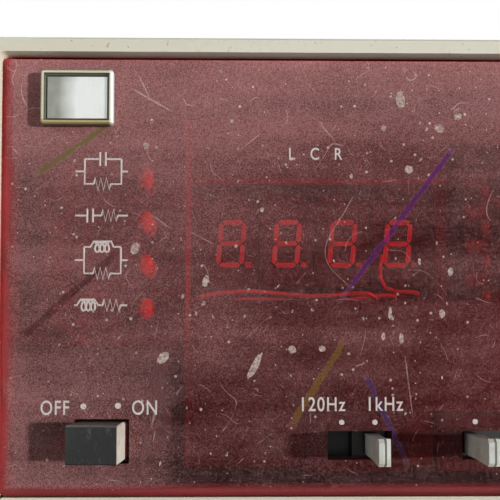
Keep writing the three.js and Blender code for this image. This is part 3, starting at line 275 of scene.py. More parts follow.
def pebbled(name, colour, low, scale=1300, relief=0.0002, roughness=0.72):
    """Textured case paint: raised pebbles with valleys darkened as painted shade, rubbed lighter in places."""
    made = Finish(name)
    pebbles = made.cells(scale, "SMOOTH_F1")
    # Painted shade: the valleys between the pebbles take the darker colour
    tone = made.blend(made.spread(pebbles, 0.25, 0.75), colour, low)
    rub = made.spread(made.noise(9, 5, 0.6), 0.5, 0.75, 0.0, 0.4)
    tone = made.blend(rub, tone, colour)
    dust = made.spread(made.noise(420, 4, 0.7), 0.6, 0.8, 0.0, 0.35)
    tone = made.blend(dust, tone, CASE_DUST)
    height = made.sums("SUBTRACT", 1.0, pebbles)
    return made.done(made.surface(tone, roughness, made.bump(height, relief, 0.6), Specular_IOR_Level=0.3))


# Marks on the window: the pixels of the photograph where they start and end, then the width in millimetres, then
# how much dust is gone, or the colour of what was smeared on
WIPED = (
    ((24, 338), (124, 248), 1.7, 0.13), ((60, 352), (176, 300), 1.0, 0.05), ((118, 250), (152, 205), 1.2, 0.05),
    ((52, 318), (110, 262), 0.5, 0.08),
)
SMEARS = (
    ((456, 146), (336, 307), 1.35, (104, 22, 124)), ((33, 178), (118, 118), 1.5, (120, 108, 62)),
    ((346, 338), (288, 430), 1.6, (138, 106, 34)), ((364, 372), (408, 468), 1.5, (62, 52, 120)),
)
SCRATCHES = (
    ((404, 352), (412, 418), 0.35), ((150, 214), (172, 230), 0.3), ((190, 232), (216, 246), 0.3),
    ((128, 86), (174, 112), 0.4), ((136, 70), (150, 98), 0.3), ((108, 408), (114, 424), 0.4),
    ((152, 430), (158, 404), 0.5), ((318, 120), (336, 140), 0.3), ((240, 150), (262, 132), 0.25),
)

# Hairlines on the window: the scale of the noise whose contours they follow, and how thin they are
HAIRLINES = ((31, 0.002), (66, 0.003), (97, 0.004))

# Where more dust hides the window, where less does, and where less veil leaves the middle darker: the share that it
# adds or takes, then the fades that bound it, each with its axis and its start and end in millimetres
DUST_HEAD = (0.3, ("Z", 112, 142))
DUST_LEFT = (0.08, ("X", -46, -96))
DUST_CORNER = (0.09, ("Z", 83, 80), ("X", -66, -69))
BARE_LOW = (0.11, ("Z", 84, 70), ("X", -82, -66))
DARKER_MIDDLE = (0.08, ("Z", 76, 92), ("Z", 132, 114), ("X", -54, -12))

# Shares of the window hidden: where it is cleanest, under a smear, under a chalky mark, at its sawn rim under the
# painted glow, and what the painted shade on the rim of its openings adds
THINNEST_DUST = 0.04
SMEAR_COVER = 0.42
CHALK_COVER = 0.5
PAINTED_GLOW_COVER = 0.6
OPENING_SHADE_COVER = 0.3

# How far in the rim's painted glow reaches from the window's left end and its foot, from none of it to all of it, in
# millimetres, then how strong the painted glow is
PAINTED_GLOW_LEFT = (2.6, 1.0)
PAINTED_GLOW_FOOT = (2.0, 1.2)
PAINTED_GLOW_SHARE = 0.8


def chalky_marks(made):
    """White specks, hairlines and scratches on the window."""
    chalky = made.any_of(made.spots(380, 0.13, 0.3), made.spots(900, 0.16, 0.16))
    for scale, thin in HAIRLINES:
        line = made.sums("ABSOLUTE", made.sums("SUBTRACT", made.noise(scale, 1, 0.4), 0.52))
        broken = made.spread(made.noise(scale * 2.2, 2), 0.56, 0.62, 0.0, 0.55)
        chalky = made.any_of(chalky, made.all_of(made.spread(line, thin, thin * 0.4), broken))
    for start, end, wide in SCRATCHES:
        chalky = made.any_of(chalky, made.stripe(start, end, wide, 0.5))
    return chalky


def settled_dust(made, clouds, grain, streaks):
    """How much of the window the dust hides: clouds of it, thicker at the head and the left, thinner low down."""
    blotches, fine = made.noise(110, 5, 0.7), made.noise(1500, 5, 0.85)
    veil = made.chain("ADD", made.spread(clouds, 0.34, 0.68, 0.13, 0.265),
                      made.spread(streaks, 0.4, 0.7, -0.06, 0.09), made.spread(blotches, 0.35, 0.65, -0.035, 0.035),
                      made.spread(grain, 0.38, 0.64, -0.06, 0.1), made.spread(fine, 0.5, 0.68, 0.0, 0.13),
                      *(made.patch(*more) for more in (DUST_HEAD, DUST_LEFT, DUST_CORNER)))
    # Less veil low down, over the middle where the window is left darker, and along the wipe marks
    gone = [made.patch(*less) for less in (BARE_LOW, DARKER_MIDDLE)] + [made.stripe(*mark) for mark in WIPED]
    return made.any_of(made.chain("SUBTRACT", veil, *gone), THINNEST_DUST)


def window_acrylic():
    """Red acrylic: clear and deep red in itself, with years of dust, hairlines and wipe marks on its face, a painted
    glow along its rim and painted shade on the walls of its openings.
    """
    made = Finish("dusty_red_acrylic")
    front = made.fade("Y", WINDOW_FACE + 0.06, WINDOW_FACE + 0.02)
    flat = made.spread(made.facing("Y"), 0.4, 0.6)
    clouds = made.noise(24, 7, 0.66, distortion=0.4)
    grain = made.noise(4600, 2, 0.7)
    streaks = made.noise(70, 5, 0.65, made.stretched(0.22, 1, 1.8, -0.75))
    chalky = chalky_marks(made)
    veil = made.sums("ADD", settled_dust(made, clouds, grain, streaks), made.all_of(chalky, CHALK_COVER))
    tone = made.blend(made.spread(grain, 0.36, 0.66), paint(193, 120, 121), paint(233, 173, 171))
    tone = made.blend(chalky, tone, paint(226, 204, 196))
    for start, end, wide, colour in SMEARS:
        smear = made.stripe(start, end, wide, 0.9)
        tone = made.blend(smear, tone, paint(*colour))
        veil = made.sums("ADD", veil, made.all_of(smear, SMEAR_COVER))
    veil = made.all_of(veil, front, flat)

    # Painted light: the sawn rim and strips along the window's left end and foot are painted a brighter red as a glow,
    # and the walls of the window's own openings are painted dark red as shade
    ragged = made.spread(made.noise(150, 5, 0.7, made.stretched(2.4, 1, 0.35)), 0.3, 0.7, -1.0 * MM, 1.0 * MM)
    wavy = made.sums("ADD", made.along("X"), ragged)
    edge = made.spread(wavy, *((WINDOW_LEFT + inset) * MM for inset in PAINTED_GLOW_LEFT), 0.0, PAINTED_GLOW_SHARE)
    foot = made.fade("Z", *(WINDOW_BOTTOM + inset for inset in PAINTED_GLOW_FOOT), 0.0, PAINTED_GLOW_SHARE)
    rim = made.any_of(edge, foot, made.sums("SUBTRACT", 1.0, flat))
    opening = made.all_of(made.within("X", WINDOW_LEFT + 2.1, -2.1 - WINDOW_LEFT, 0.4),
                        made.within("Z", WINDOW_BOTTOM + 2, WINDOW_TOP - 1, 0.4))
    glow = made.blend(made.spread(streaks, 0.4, 0.65), paint(196, 60, 66), paint(150, 34, 42))
    tone = made.blend(rim, tone, made.blend(opening, glow, paint(58, 12, 16)))
    # The painted glow and the painted shade on the rim hide the clear acrylic behind them
    share = made.any_of(veil, made.all_of(rim, made.sums("ADD", made.all_of(opening, OPENING_SHADE_COVER), PAINTED_GLOW_COVER)))

    gloss = made.spread(clouds, 0.3, 0.7, 0.32, 0.6)
    dusty = made.surface(tone, gloss, made.bump(grain, 0.00002, 0.4), Specular_IOR_Level=0.2)
    return made.done(made.mixed(share, made.see_through(ACRYLIC_TINT), dusty))


def screen_print():
    """White printing worn through in specks, with dust over it."""
    made = Finish("worn_white_print")
    gone = made.noise(2600, 3, 0.75)
    tone = made.blend(made.spread(gone, 0.3, 0.6), paint(214, 196, 192), paint(236, 226, 222))
    ink = made.surface(tone, 0.55)
    share = made.spread(gone, 0.58, 0.66, 1.0, 0.35)
    return made.done(made.mixed(share, made.see_through(CLEAR), ink))


def drop_crust():
    """A dried drop: thin in the middle and chalky at its rim."""
    made = Finish("dried_drop_crust")
    patchy = made.noise(1500, 4, 0.7)
    tone = made.blend(made.spread(patchy, 0.3, 0.7), paint(190, 150, 142), paint(238, 222, 210))
    share = made.spread(patchy, 0.3, 0.66, 0.25, 0.8)
    return made.done(made.mixed(share, made.see_through(CLEAR), made.surface(tone, 0.7)))


def digit_finish():
    """Seven-segment figure: pale diffusing segments standing out of a dark body."""
    made = Finish("segment_figure")
    lit = made.fade("Y", SEGMENT_STEP + 0.05, SEGMENT_STEP - 0.05)
    cloudy = made.spread(made.noise(500, 3), 0.35, 0.65)
    pale = made.blend(cloudy, paint(222, 206, 206), paint(202, 186, 186))
    dark = made.blend(cloudy, paint(30, 24, 24), paint(44, 34, 34))
    return made.done(made.surface(made.blend(lit, dark, pale), 0.35,
                                  made.bump(made.noise(900, 2), 0.00003, 0.3)))


def lamp_lens():
    made = Finish("red_lamp_lens")
    cloudy = made.spread(made.noise(700, 3), 0.35, 0.65)
    tone = made.blend(cloudy, paint(238, 128, 120), paint(218, 104, 98))
    return made.done(made.surface(tone, 0.75, made.bump(made.noise(600, 2), 0.00002, 0.3), Specular_IOR_Level=0.2))


# The display mask, in millimetres: its sawn left edge, the upright bar there, and the upper rim with its right end;
# the bar and the rim carry painted highlights
MASK_EDGE = -63.6
MASK_LIT_BAR = (-65.0, -63.0)
MASK_LIT_RIM = (117.5, 118.9)
MASK_LIT_RIM_END = -8.6


def mask_finish():
    """Black display mask with pale sawn edges, partly bare metal and partly painted highlight, and painted highlight
    lines on an upright bar and the upper rim, which show red behind the window.
    """
    made = Finish("black_display_mask")
    # Painted highlight: the sawn left edge and the mask's edges pale where light catches them, partly bare metal,
    # brighter higher up
    sawn = made.all_of(made.fade("X", MASK_EDGE + 0.15, MASK_EDGE - 0.15), made.fade("Z", 80, 92, 0.15, 1.0))
    ends = made.spread(made.facing("Y"), 0.6, 0.4)
    # Painted highlights: pale lines on the upright bar and along the upper rim, where light catches them
    bar = made.all_of(made.within("X", *MASK_LIT_BAR, 0.4), made.fade("Z", 96, 110, 0.0, 0.7))
    rim = made.all_of(made.within("Z", *MASK_LIT_RIM, 0.3), made.fade("X", MASK_LIT_RIM_END, MASK_LIT_RIM_END - 0.6),
                    made.spread(made.noise(90, 4), 0.35, 0.65, 0.2, 0.65))
    grain = made.noise(1500, 3)
    dark = made.blend(made.spread(grain, 0.3, 0.7), paint(30, 25, 25), paint(52, 42, 42))
    tone = made.blend(made.any_of(sawn, ends, bar, rim), dark, paint(158, 132, 126))
    return made.done(made.surface(tone, 0.5, made.bump(grain, 0.00003, 0.4)))


def board_finish():
    """Circuit board: green varnish over branching copper tracks."""
    made = Finish("green_circuit_board")
    tracks = made.cells(160, "DISTANCE_TO_EDGE")
    tone = made.blend(made.spread(tracks, 0.05, 0.12), paint(96, 122, 66), paint(38, 74, 46))
    tone = made.blend(made.spread(made.noise(300, 4), 0.4, 0.7, 0.0, 0.4), tone, paint(60, 66, 40))
    return made.done(made.surface(tone, 0.35, made.bump(tracks, 0.0001, 0.4)))


# The badge, in millimetres: where the painted shade of its rim's lower side and the painted highlight of its right
# side begin, how deep its rim stays bright before painted shade, and where the plate's painted sheen fades
BADGE_SHADE_FOOT = 129.6
BADGE_LIT_RIGHT = -80.0
BADGE_SHADE_DEPTH = -157.2
BADGE_SHEEN_FADE = (-86.5, -90.5)


def badge_surround():
    """Bright rim of the badge, with painted light: olive brass shade along its lower side, dark shade deeper in, and a
    near-white highlight along its right side.
    """
    made = Finish("badge_surround")
    lines = made.noise(260, 4, 0.6, made.stretched(1, 1, 30))
    tone = made.blend(made.spread(lines, 0.3, 0.75, 0.0, 0.5), paint(214, 212, 188), paint(160, 154, 120))
    # Painted shade: olive brass along the rim's lower side
    lower = made.fade("Z", BADGE_SHADE_FOOT, BADGE_SHADE_FOOT - 0.4, 0.0, 0.8)
    tone = made.blend(lower, tone, paint(166, 146, 84))
    # Painted shade: dark deeper in the rim
    inside = made.fade("Y", BADGE_SHADE_DEPTH, BADGE_SHADE_DEPTH + 0.2, 0.0, 0.7)
    tone = made.blend(inside, tone, paint(40, 40, 34))
    # Painted highlight: near-white along the rim's right side
    bright = made.fade("X", BADGE_LIT_RIGHT, BADGE_LIT_RIGHT + 0.4, 0.0, 0.8)
    tone = made.blend(bright, tone, paint(248, 248, 240))
    return made.done(made.surface(tone, made.spread(lines, 0.3, 0.7, 0.3, 0.5), Metallic=0.55))


def badge_sheet():
    """Bare brushed plate of the badge, with a painted sheen: bright at its right end and greying towards its left end.
    """
    made = Finish("badge_plate_metal")
    lines = made.noise(240, 4, 0.6, made.stretched(40, 1, 1))
    # Painted sheen: it fades from the plate's right end to grey at its left, with random patches
    sheen_fall = made.sums("ADD", made.fade("X", *BADGE_SHEEN_FADE), made.spread(made.noise(200, 4), 0.3, 0.7, -0.15, 0.15))
    tone = made.blend(made.spread(lines, 0.3, 0.75, 0.0, 0.3), paint(246, 249, 246), paint(206, 210, 202))
    tone = made.blend(made.spread(sheen_fall, 0.0, 1.0), tone, paint(150, 152, 142))
    return made.done(made.surface(tone, 0.42, made.bump(lines, 0.00002, 0.3), Metallic=0.35))


# Where the rocker's right side, painted pale ivory as a highlight and as a paler bare side, begins, in millimetres
ROCKER_PALE_LIT_SIDE = -77.3


def rocker_finish():
    """Black rocker, rubbed by fingers, with a top painted paler as wear and highlight, and its right side towards the
    ON end painted pale as a bare side and a highlight.
    """
    made = Finish("black_rocker")
    rubbed = made.spread(made.noise(260, 5, 0.7), 0.5, 0.72, 0.0, 0.8)
    tone = made.blend(rubbed, paint(17, 19, 18), paint(34, 38, 36))
    hairs = made.noise(420, 3, 0.6, made.stretched(1, 1, 7, 0.5))
    tone = made.blend(made.spread(hairs, 0.66, 0.74, 0.0, 0.4), tone, paint(84, 88, 84))
    # Worn top and painted highlight: the faces that look up are painted paler
    worn_and_lit_top = made.spread(made.tilt("Z"), 0.3, 0.6, 0.0, 0.7)
    tone = made.blend(worn_and_lit_top, tone, paint(128, 126, 120))
    thumb = made.spread(made.noise(330, 6, 0.8, made.stretched(1.6, 1, 0.7, 0.6)), 0.55, 0.66, 0.0, 0.7)
    tone = made.blend(thumb, tone, paint(88, 92, 90))
    # Painted highlight: the right side, where the light from the right strikes it, painted pale ivory as a paler bare
    # side
    ivory = made.blend(made.spread(made.noise(500, 4), 0.3, 0.7), paint(232, 226, 214), paint(202, 190, 174))
    tone = made.blend(made.fade("X", ROCKER_PALE_LIT_SIDE, ROCKER_PALE_LIT_SIDE + 0.2), tone, ivory)
    gloss = made.spread(made.noise(200, 4), 0.3, 0.7, 0.42, 0.62)
    return made.done(made.surface(tone, gloss, made.bump(made.noise(1500, 3), 0.00004, 0.5)))


# The slide levers, in millimetres: the middle of each handle across the front, where its tip's groove starts, the
# groove's half width, and the distance between two rests
LEVER_MIDDLES = {"frequency_lever": -25.5, "bias_lever": -4.5, "function_lever": 38.2, "circuit_lever": 67.5}
LEVER_TIP = -163.6
GROOVE_HALF = 0.28
LEVER_STEP = 6.86


def lever_finish(name, centre):
    """Slide lever: ivory handle with a moulded groove down its tip, darkened in painted shade, on a black slider plate.
    """
    made = Finish(name)
    soil = made.spread(made.noise(240, 5, 0.7), 0.42, 0.7)
    tone = made.blend(soil, paint(222, 225, 218), paint(196, 190, 174))
    groove = made.all_of(made.within("X", centre - GROOVE_HALF, centre + GROOVE_HALF, 0.16),
                       made.fade("Y", LEVER_TIP, LEVER_TIP - 0.4))
    # Painted shade: the groove down the tip is darkened
    tone = made.blend(made.all_of(groove, 0.75), tone, paint(74, 72, 64))
    slider = made.fade("Y", WINDOW_BACK - 0.4, WINDOW_BACK - 0.2)
    tone = made.blend(slider, tone, paint(14, 13, 13))
    height = made.sums("SUBTRACT", made.noise(900, 3), made.all_of(groove, 4.0))
    return made.done(made.surface(tone, 0.4, made.bump(height, 0.00008, 0.5)))


def dress_nodes(nodes):
    """Gives each CAD piece its own finish."""
    cream = cast_paint("cream_casting", *CREAM)
    # The side and front castings take painted shade in near-black where they lie inside the case
    sides = cast_paint("cream_side_casting", *CREAM, painted_shade=inner_shade_share)
    front = cast_paint("cream_front_casting", *CREAM, painted_shade=pocket_shade_share)
    panel = cast_paint("cream_panel", paint(232, 227, 208), paint(220, 214, 192), paint(140, 126, 96), 1400)
    covers = pebbled("olive_grey_covers", paint(104, 102, 84), paint(70, 69, 56))
    rear_paint = pebbled("olive_grey_rear", paint(92, 91, 76), paint(66, 65, 54), 1700, 0.00014, 0.68)
    black = moulded("black_moulding", paint(20, 20, 19), paint(38, 38, 36), 0.5)
    rocker = rocker_finish()
    caps = moulded("black_phenolic", paint(24, 22, 21), paint(52, 47, 44), 0.3)
    ivory = moulded("ivory_lever", paint(208, 212, 206), paint(182, 178, 164), 0.38)
    rubber = moulded("grey_foot", paint(96, 97, 92), paint(122, 122, 114), 0.6)
    amber = moulded("brown_phenolic", paint(62, 42, 30), paint(88, 66, 50), 0.4)
    bezel = badge_surround()
    plate = badge_sheet()
    bare = brushed("bare_aluminium", paint(196, 198, 196), paint(140, 142, 138), (1, 1, 40))
    steel = brushed("stand_wire_steel", paint(176, 178, 178), paint(120, 120, 118), (30, 1, 1))
    irons = brushed("lamination_steel", paint(92, 88, 84), paint(54, 48, 44), (90, 1, 1), 0.5)
    sleeve = moulded("wire_sleeve", paint(214, 190, 186), paint(186, 158, 154), 0.4)
    figures, lens, acrylic = digit_finish(), lamp_lens(), window_acrylic()
    mask, board = mask_finish(), board_finish()
    strip = moulded("unit_lamp_body", paint(92, 60, 58), paint(66, 46, 46), 0.4)
    chosen = {
        "front_frame": front, "side_frame_left": sides, "side_frame_right": sides, "rear_frame": cream,
        "terminal_panel": panel, "display_window": acrylic, "badge_bezel": bezel, "badge_plate": plate,
        "display_mask": mask, "display_board": board, "main_board": board, "display_wires": sleeve,
        "loss_display": figures, "unit_lamp_strip": strip, "power_rocker": rocker,
        "top_cover": covers, "bottom_cover": covers, "side_cover_left": covers, "side_cover_right": covers,
        "rear_panel": rear_paint, "power_transformer": irons, "tilt_stand": steel,
        "terminal_block": bare, "voltage_selector": black, "voltage_slide": ivory,
        "fuse_holder": amber, "test_button": ivory,
    }
    sorts = {"digit_": figures, "mode_lamp": lens, "foot": rubber, "terminal_cap": caps, "zero_knob": caps}
    for name, node in nodes.items():
        sort = next((word for word in sorts if word in name), None)
        if name in LEVER_MIDDLES:
            finish = lever_finish(name + "_moulding", LEVER_MIDDLES[name])
        else:
            finish = chosen.get(name) or sorts.get(sort, black)
        node.data.materials.clear()
        node.data.materials.append(finish)


def linked(name, content):
    """A new object in the scene that holds a mesh, a curve, a lamp or a camera."""
    holder = bpy.data.objects.new(name, content)
    bpy.context.scene.collection.objects.link(holder)
    return holder


def solid_object(name, shape, material, body="root"):
    """Makes a bmesh whose points are millimetres in the row frame a piece that rides on a body."""
    bmesh.ops.scale(shape, vec=(MM, MM, MM), verts=shape.verts)
    mesh = bpy.data.meshes.new(name)
    shape.to_mesh(mesh)
    shape.free()
    mesh.materials.append(material)
    piece = linked(name, mesh)
    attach(piece, body)
    return piece


# Printing: how far it stands out in millimetres, then the built-in letters' capital height as a share of their
# size, how much they are thickened in millimetres, their spacing, and the sides of a disc
PRINT_PROUD = 0.05
CAPITAL_SHARE = 0.72
LETTER_WEIGHT = 0.035
LETTER_SPACING = 1.14
DISC_SIDES = 18


def printed_mesh(curve):
    """A text or stroke curve as a mesh of its own."""
    holder = linked(curve.name, curve)
    bpy.context.view_layer.update()
    ready = holder.evaluated_get(bpy.context.evaluated_depsgraph_get())
    mesh = bpy.data.meshes.new_from_object(ready)
    bpy.data.objects.remove(holder)
    return mesh


def lay_print(name, mesh, face, material, body="root"):
    """Lays a mesh drawn in millimetres across X and Y flat on a front face, its Y becoming height."""
    thick = max((v.co.z for v in mesh.vertices), default=1.0) or 1.0
    mesh.transform(Matrix.Diagonal((1, 1, PRINT_PROUD / thick / 2, 1)))
    mesh.transform(UPRIGHT)
    mesh.transform(Matrix.Translation((0, face - PRINT_PROUD / 2, 0)))
    mesh.transform(Matrix.Scale(MM, 4))
    mesh.materials.clear()
    mesh.materials.append(material)
    piece = linked(name, mesh)
    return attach(piece, body)


def words(name, text, left, bottom, height, face, material, squeeze):
    """Plain lettering: left end and baseline in millimetres, height of its capitals."""
    curve = bpy.data.curves.new(name, "FONT")
    curve.body = text
    curve.size = height / CAPITAL_SHARE
    curve.extrude = 0.5
    curve.offset = LETTER_WEIGHT
    curve.space_character = LETTER_SPACING
    mesh = printed_mesh(curve)
    start = min(v.co.x for v in mesh.vertices)
    mesh.transform(Matrix.Diagonal((squeeze, 1, 1, 1)) @ Matrix.Translation((-start, 0, 0)))
    mesh.transform(Matrix.Translation((left, bottom, 0)))
    return lay_print(name, mesh, face, material)


def strokes(name, lines, width, face, material, body="root"):
    """Printed line work: each line is a list of millimetre points."""
    curve = bpy.data.curves.new(name, "CURVE")
    curve.dimensions = "3D"
    curve.bevel_depth = width / 2
    curve.bevel_resolution = 1
    curve.use_fill_caps = True
    for line in lines:
        spline = curve.splines.new("POLY")
        spline.points.add(len(line) - 1)
        for point, (across, up) in zip(spline.points, line):
            point.co = (across, up, 0, 1)
    return lay_print(name, printed_mesh(curve), face, material, body)


# The circuit symbols on the window, in millimetres: the width of a stroke, the ends of the leads, the places of the
# two branches, half a capacitor plate and half the gap between two, half a zigzag and its peaks to a side, the turns
# of a coil and the points to a turn, and the height of each symbol's leads
SYMBOL_STROKE = 0.42
SYMBOL_LEFT = -87.2
SYMBOL_RIGHT = -76.3
BRANCH_LEFT = -85.3
BRANCH_RIGHT = -77.7
PLATE_HALF = 1.45
GAP_HALF = 0.58
ZIG_HALF = 1.25
ZIG_PEAKS = 3
COIL_TURNS = 3
TURN_STEPS = 10
PARALLEL_CAPACITOR_LEVEL = 119.13
SERIES_CAPACITOR_LEVEL = 109.9
PARALLEL_COIL_LEVEL = 100.6
SERIES_COIL_LEVEL = 91.26


def zigzag(start, end, level):
    """A resistor's zigzag between two places on one level."""
    step = (end - start) / (2 * ZIG_PEAKS)
    line = [(start, level)]
    for turn in range(2 * ZIG_PEAKS):
        side = ZIG_HALF if turn % 2 == 0 else -ZIG_HALF
        line.append((start + step * (turn + 0.5), level + side))
    return line + [(end, level)]


def winding(start, end, level, swing):
    """A coil drawn as overlapping loops that hang from a raised line."""
    pitch = (end - start) / (COIL_TURNS + 1)
    line = []
    for step in range(COIL_TURNS * TURN_STEPS + 1):
        angle = 2 * math.pi * step / TURN_STEPS
        across = start + pitch * (0.5 + step / TURN_STEPS) + pitch * 0.7 * math.sin(angle)
        line.append((across, level + swing * math.cos(angle)))
    return line


def plates(centre, level):
    return [[(centre + side, level - PLATE_HALF), (centre + side, level + PLATE_HALF)]
            for side in (-GAP_HALF, GAP_HALF)]


def parallel_pair(level, upper, branch_up, branch_down):
    """A resistor below and a capacitor or coil above, between two leads."""
    top, low = level + branch_up, level - branch_down
    zig_left, zig_right = -83.4, -79.9
    lines = [
        [(SYMBOL_LEFT, level), (BRANCH_LEFT, level)], [(BRANCH_RIGHT, level), (SYMBOL_RIGHT, level)],
        [(zig_left, low), (BRANCH_LEFT, low), (BRANCH_LEFT, top)],
        [(BRANCH_RIGHT, top), (BRANCH_RIGHT, low), (zig_right, low)],
        zigzag(zig_left, zig_right, low),
    ]
    if upper == "plates":
        centre = -81.55
        lines += plates(centre, top)
        lines += [[(BRANCH_LEFT, top), (centre - GAP_HALF, top)], [(centre + GAP_HALF, top), (BRANCH_RIGHT, top)]]
    else:
        rise = 1.15
        lines += [[(BRANCH_LEFT, top), (-84.0, top), (-83.3, top + rise), (-79.7, top + rise),
                   (-79.2, top), (BRANCH_RIGHT, top)], winding(-83.6, -79.6, top - 0.1, 1.0)]
    return lines


def draw_symbols(material):
    """The four component pairs that the mode lamps point out."""
    level, centre, zig_left, zig_right = SERIES_CAPACITOR_LEVEL, -84.12, -81.75, -78.4
    series_cap = [[(SYMBOL_LEFT, level), (centre - GAP_HALF, level)], *plates(centre, level),
                  [(centre + GAP_HALF, level), (zig_left, level)], zigzag(zig_left, zig_right, level),
                  [(zig_right, level), (SYMBOL_RIGHT, level)]]
    level, top, zig_left, zig_right = SERIES_COIL_LEVEL, 92.45, -81.4, -77.7
    series_coil = [[(SYMBOL_LEFT, level), (-86.7, level), (-85.9, top), (-83.1, top), (-82.3, level),
                    (zig_left, level)], winding(-86.3, -82.4, 91.2, 1.1),
                   zigzag(zig_left, zig_right, level), [(zig_right, level), (SYMBOL_RIGHT, level)]]
    drawn = {
        "symbol_parallel_capacitor": parallel_pair(PARALLEL_CAPACITOR_LEVEL, "plates", 2.6, 2.62),
        "symbol_series_capacitor": series_cap,
        "symbol_parallel_coil": parallel_pair(PARALLEL_COIL_LEVEL, "coil", 2.75, 2.75),
        "symbol_series_coil": series_coil,
    }
    for name, lines in drawn.items():
        strokes(name, lines, SYMBOL_STROKE, WINDOW_FACE, material)


def thickened(shape, depth):
    """Gives flat discs that look to the front a depth in millimetres."""
    grown = bmesh.ops.extrude_face_region(shape, geom=shape.faces[:])
    moved = [part for part in grown["geom"] if isinstance(part, bmesh.types.BMVert)]
    bmesh.ops.translate(shape, vec=(0, depth, 0), verts=moved)
    bmesh.ops.recalc_face_normals(shape, faces=shape.faces)


def dots(name, places, radius, face, material):
    """Round printed dots."""
    shape = bmesh.new()
    for across, up in places:
        made = bmesh.ops.create_circle(shape, cap_ends=True, segments=DISC_SIDES, radius=radius)
        turn = Matrix.Translation((across, face - PRINT_PROUD, up)) @ UPRIGHT
        bmesh.ops.transform(shape, matrix=turn, verts=made["verts"])
    thickened(shape, PRINT_PROUD)
    return solid_object(name, shape, material)


# Words on the window: the piece's name, the text, the pixel of the photograph where its baseline starts, the height
# of its capitals in millimetres, and its width as a share of the letters' own
WORDS = (
    ("print_off", "OFF", 43.5, 414.2, 3.0, 0.76), ("print_on", "ON", 133.6, 414.0, 3.0, 0.78),
    ("print_low_hertz", "120Hz", 301.6, 410.8, 2.95, 0.8), ("print_high_hertz", "1kHz", 368.0, 410.6, 2.95, 0.81),
    ("print_inductance", "L", 289.5, 159.2, 2.55, 0.8), ("print_capacitance", "C", 311.0, 159.2, 2.55, 0.8),
    ("print_resistance", "R", 335.5, 159.2, 2.55, 0.8),
)

# Dots on the window: their radii in millimetres, the pixels of the photograph where they lie, and for the levers
# beyond it the first rest in millimetres and the number of rests
ROCKER_DOT = 0.62
LEVER_DOT = 0.55
ROCKER_DOTS = ((85.5, 406), (119.6, 405.5))
FREQUENCY_DOTS = ((341, 422), (374, 422))
LEVER_DOTS_DOWN = 421.5
LEVER_RESTS = ((-4.4, 5), (38.2, 3), (67.5, 2))


def draw_words(material):
    """Plain numbers, positions and function letters."""
    for name, text, across, down, tall, squeeze in WORDS:
        left, bottom = at_pixel(across, down)
        words(name, text, left, bottom, tall, WINDOW_FACE, material, squeeze)
    dots("print_rocker_dots", [at_pixel(*dot) for dot in ROCKER_DOTS], ROCKER_DOT, WINDOW_FACE, material)
    level = at_pixel(0, LEVER_DOTS_DOWN)[1]
    places = [at_pixel(*dot) for dot in FREQUENCY_DOTS]
    for first, rests in LEVER_RESTS:
        places += [(first + rest * LEVER_STEP, level) for rest in range(rests)]
    dots("print_lever_dots", places, LEVER_DOT, WINDOW_FACE, material)


# Dried drops on the window: pixel of the photograph, half width and half height in pixels, turn in degrees
DROPS = (
    (135.5, 249, 4.4, 6.6, 20), (146, 146, 3.0, 3.4, 0), (206, 282, 3.4, 6.2, 12), (183, 297, 1.7, 2.5, 15),
    (204, 304, 1.8, 2.6, 30), (132, 319, 1.8, 2.0, 0), (255, 366, 3.6, 14.5, 28), (164, 358, 4.6, 7.5, 42),
    (402, 98, 4.4, 9.0, -6), (410, 169, 4.6, 4.0, 0), (441, 127, 5.4, 4.2, 25), (460, 115, 4.0, 3.6, 0),
    (292, 350, 4.4, 3.8, 10), (322, 349, 3.4, 3.0, 0), (390, 314, 1.8, 6.5, 4), (383, 337, 2.0, 4.0, 8),
    (401, 339, 2.2, 5.5, 4), (442, 314, 3.2, 4.6, -8), (323, 424, 2.6, 3.2, 0), (296, 459, 3.6, 2.6, 0),
    (451, 272, 2.8, 4.2, 12), (420, 262, 1.6, 3.4, 0), (385, 127, 2.4, 3.4, 20), (352, 176, 1.6, 2.6, 0),
    (447, 424, 1.4, 2.2, 30), (474, 460, 1.4, 2.6, 0), (232, 120, 1.6, 2.4, 10), (262, 210, 1.8, 2.6, 20),
)
SMALL_DROPS = 70

# The small drops: the pixels between which they lie, half their width and half their height in pixels, their turn,
# and for every drop how far its outline wanders
DROP_ACROSS = (36, 466)
DROP_DOWN = (64, 470)
DROP_HALF_WIDE = (0.7, 1.5)
DROP_HALF_HIGH = (0.9, 2.3)
DROP_TURN = (-30, 40)
DROP_WOBBLE = (0.84, 1.1)


def dried_drops(material):
    """Thin crusts of dried drops: the large ones where the photograph has them, small ones between."""
    chance = random.Random(61)
    shape = bmesh.new()
    ranges = (DROP_ACROSS, DROP_DOWN, DROP_HALF_WIDE, DROP_HALF_HIGH, DROP_TURN)
    small = [[chance.uniform(*ends) for ends in ranges] for _ in range(SMALL_DROPS)]
    for across, down, half_wide, half_high, turn in [*DROPS, *small]:
        left, up = at_pixel(across, down)
        if on_control(left, up):
            continue
        made = bmesh.ops.create_circle(shape, cap_ends=True, segments=DISC_SIDES, radius=1.0)
        for vert in made["verts"]:
            vert.co *= chance.uniform(*DROP_WOBBLE)
        place = (Matrix.Translation((left, WINDOW_FACE - PRINT_PROUD, up))
                 @ UPRIGHT @ Matrix.Rotation(math.radians(-turn), 4, "Z")
                 @ Matrix.Diagonal((half_wide * PHOTO_SCALE, half_high * PHOTO_SCALE, 1, 1)))
        bmesh.ops.transform(shape, matrix=place, verts=made["verts"])
    thickened(shape, PRINT_PROUD - 0.01)
    return solid_object("dried_drops", shape, material)


def on_control(left, up):
    """Whether a place on the window's face is over a control's opening or the badge."""
    for low_x, low_z, high_x, high_z in CONTROL_AREAS:
        if low_x < left < high_x and low_z < up < high_z:
            return True
    return False


# Half the width of a screw's slot, in millimetres, and the sides of its head
SLOT_HALF = 0.32
HEAD_SIDES = 28


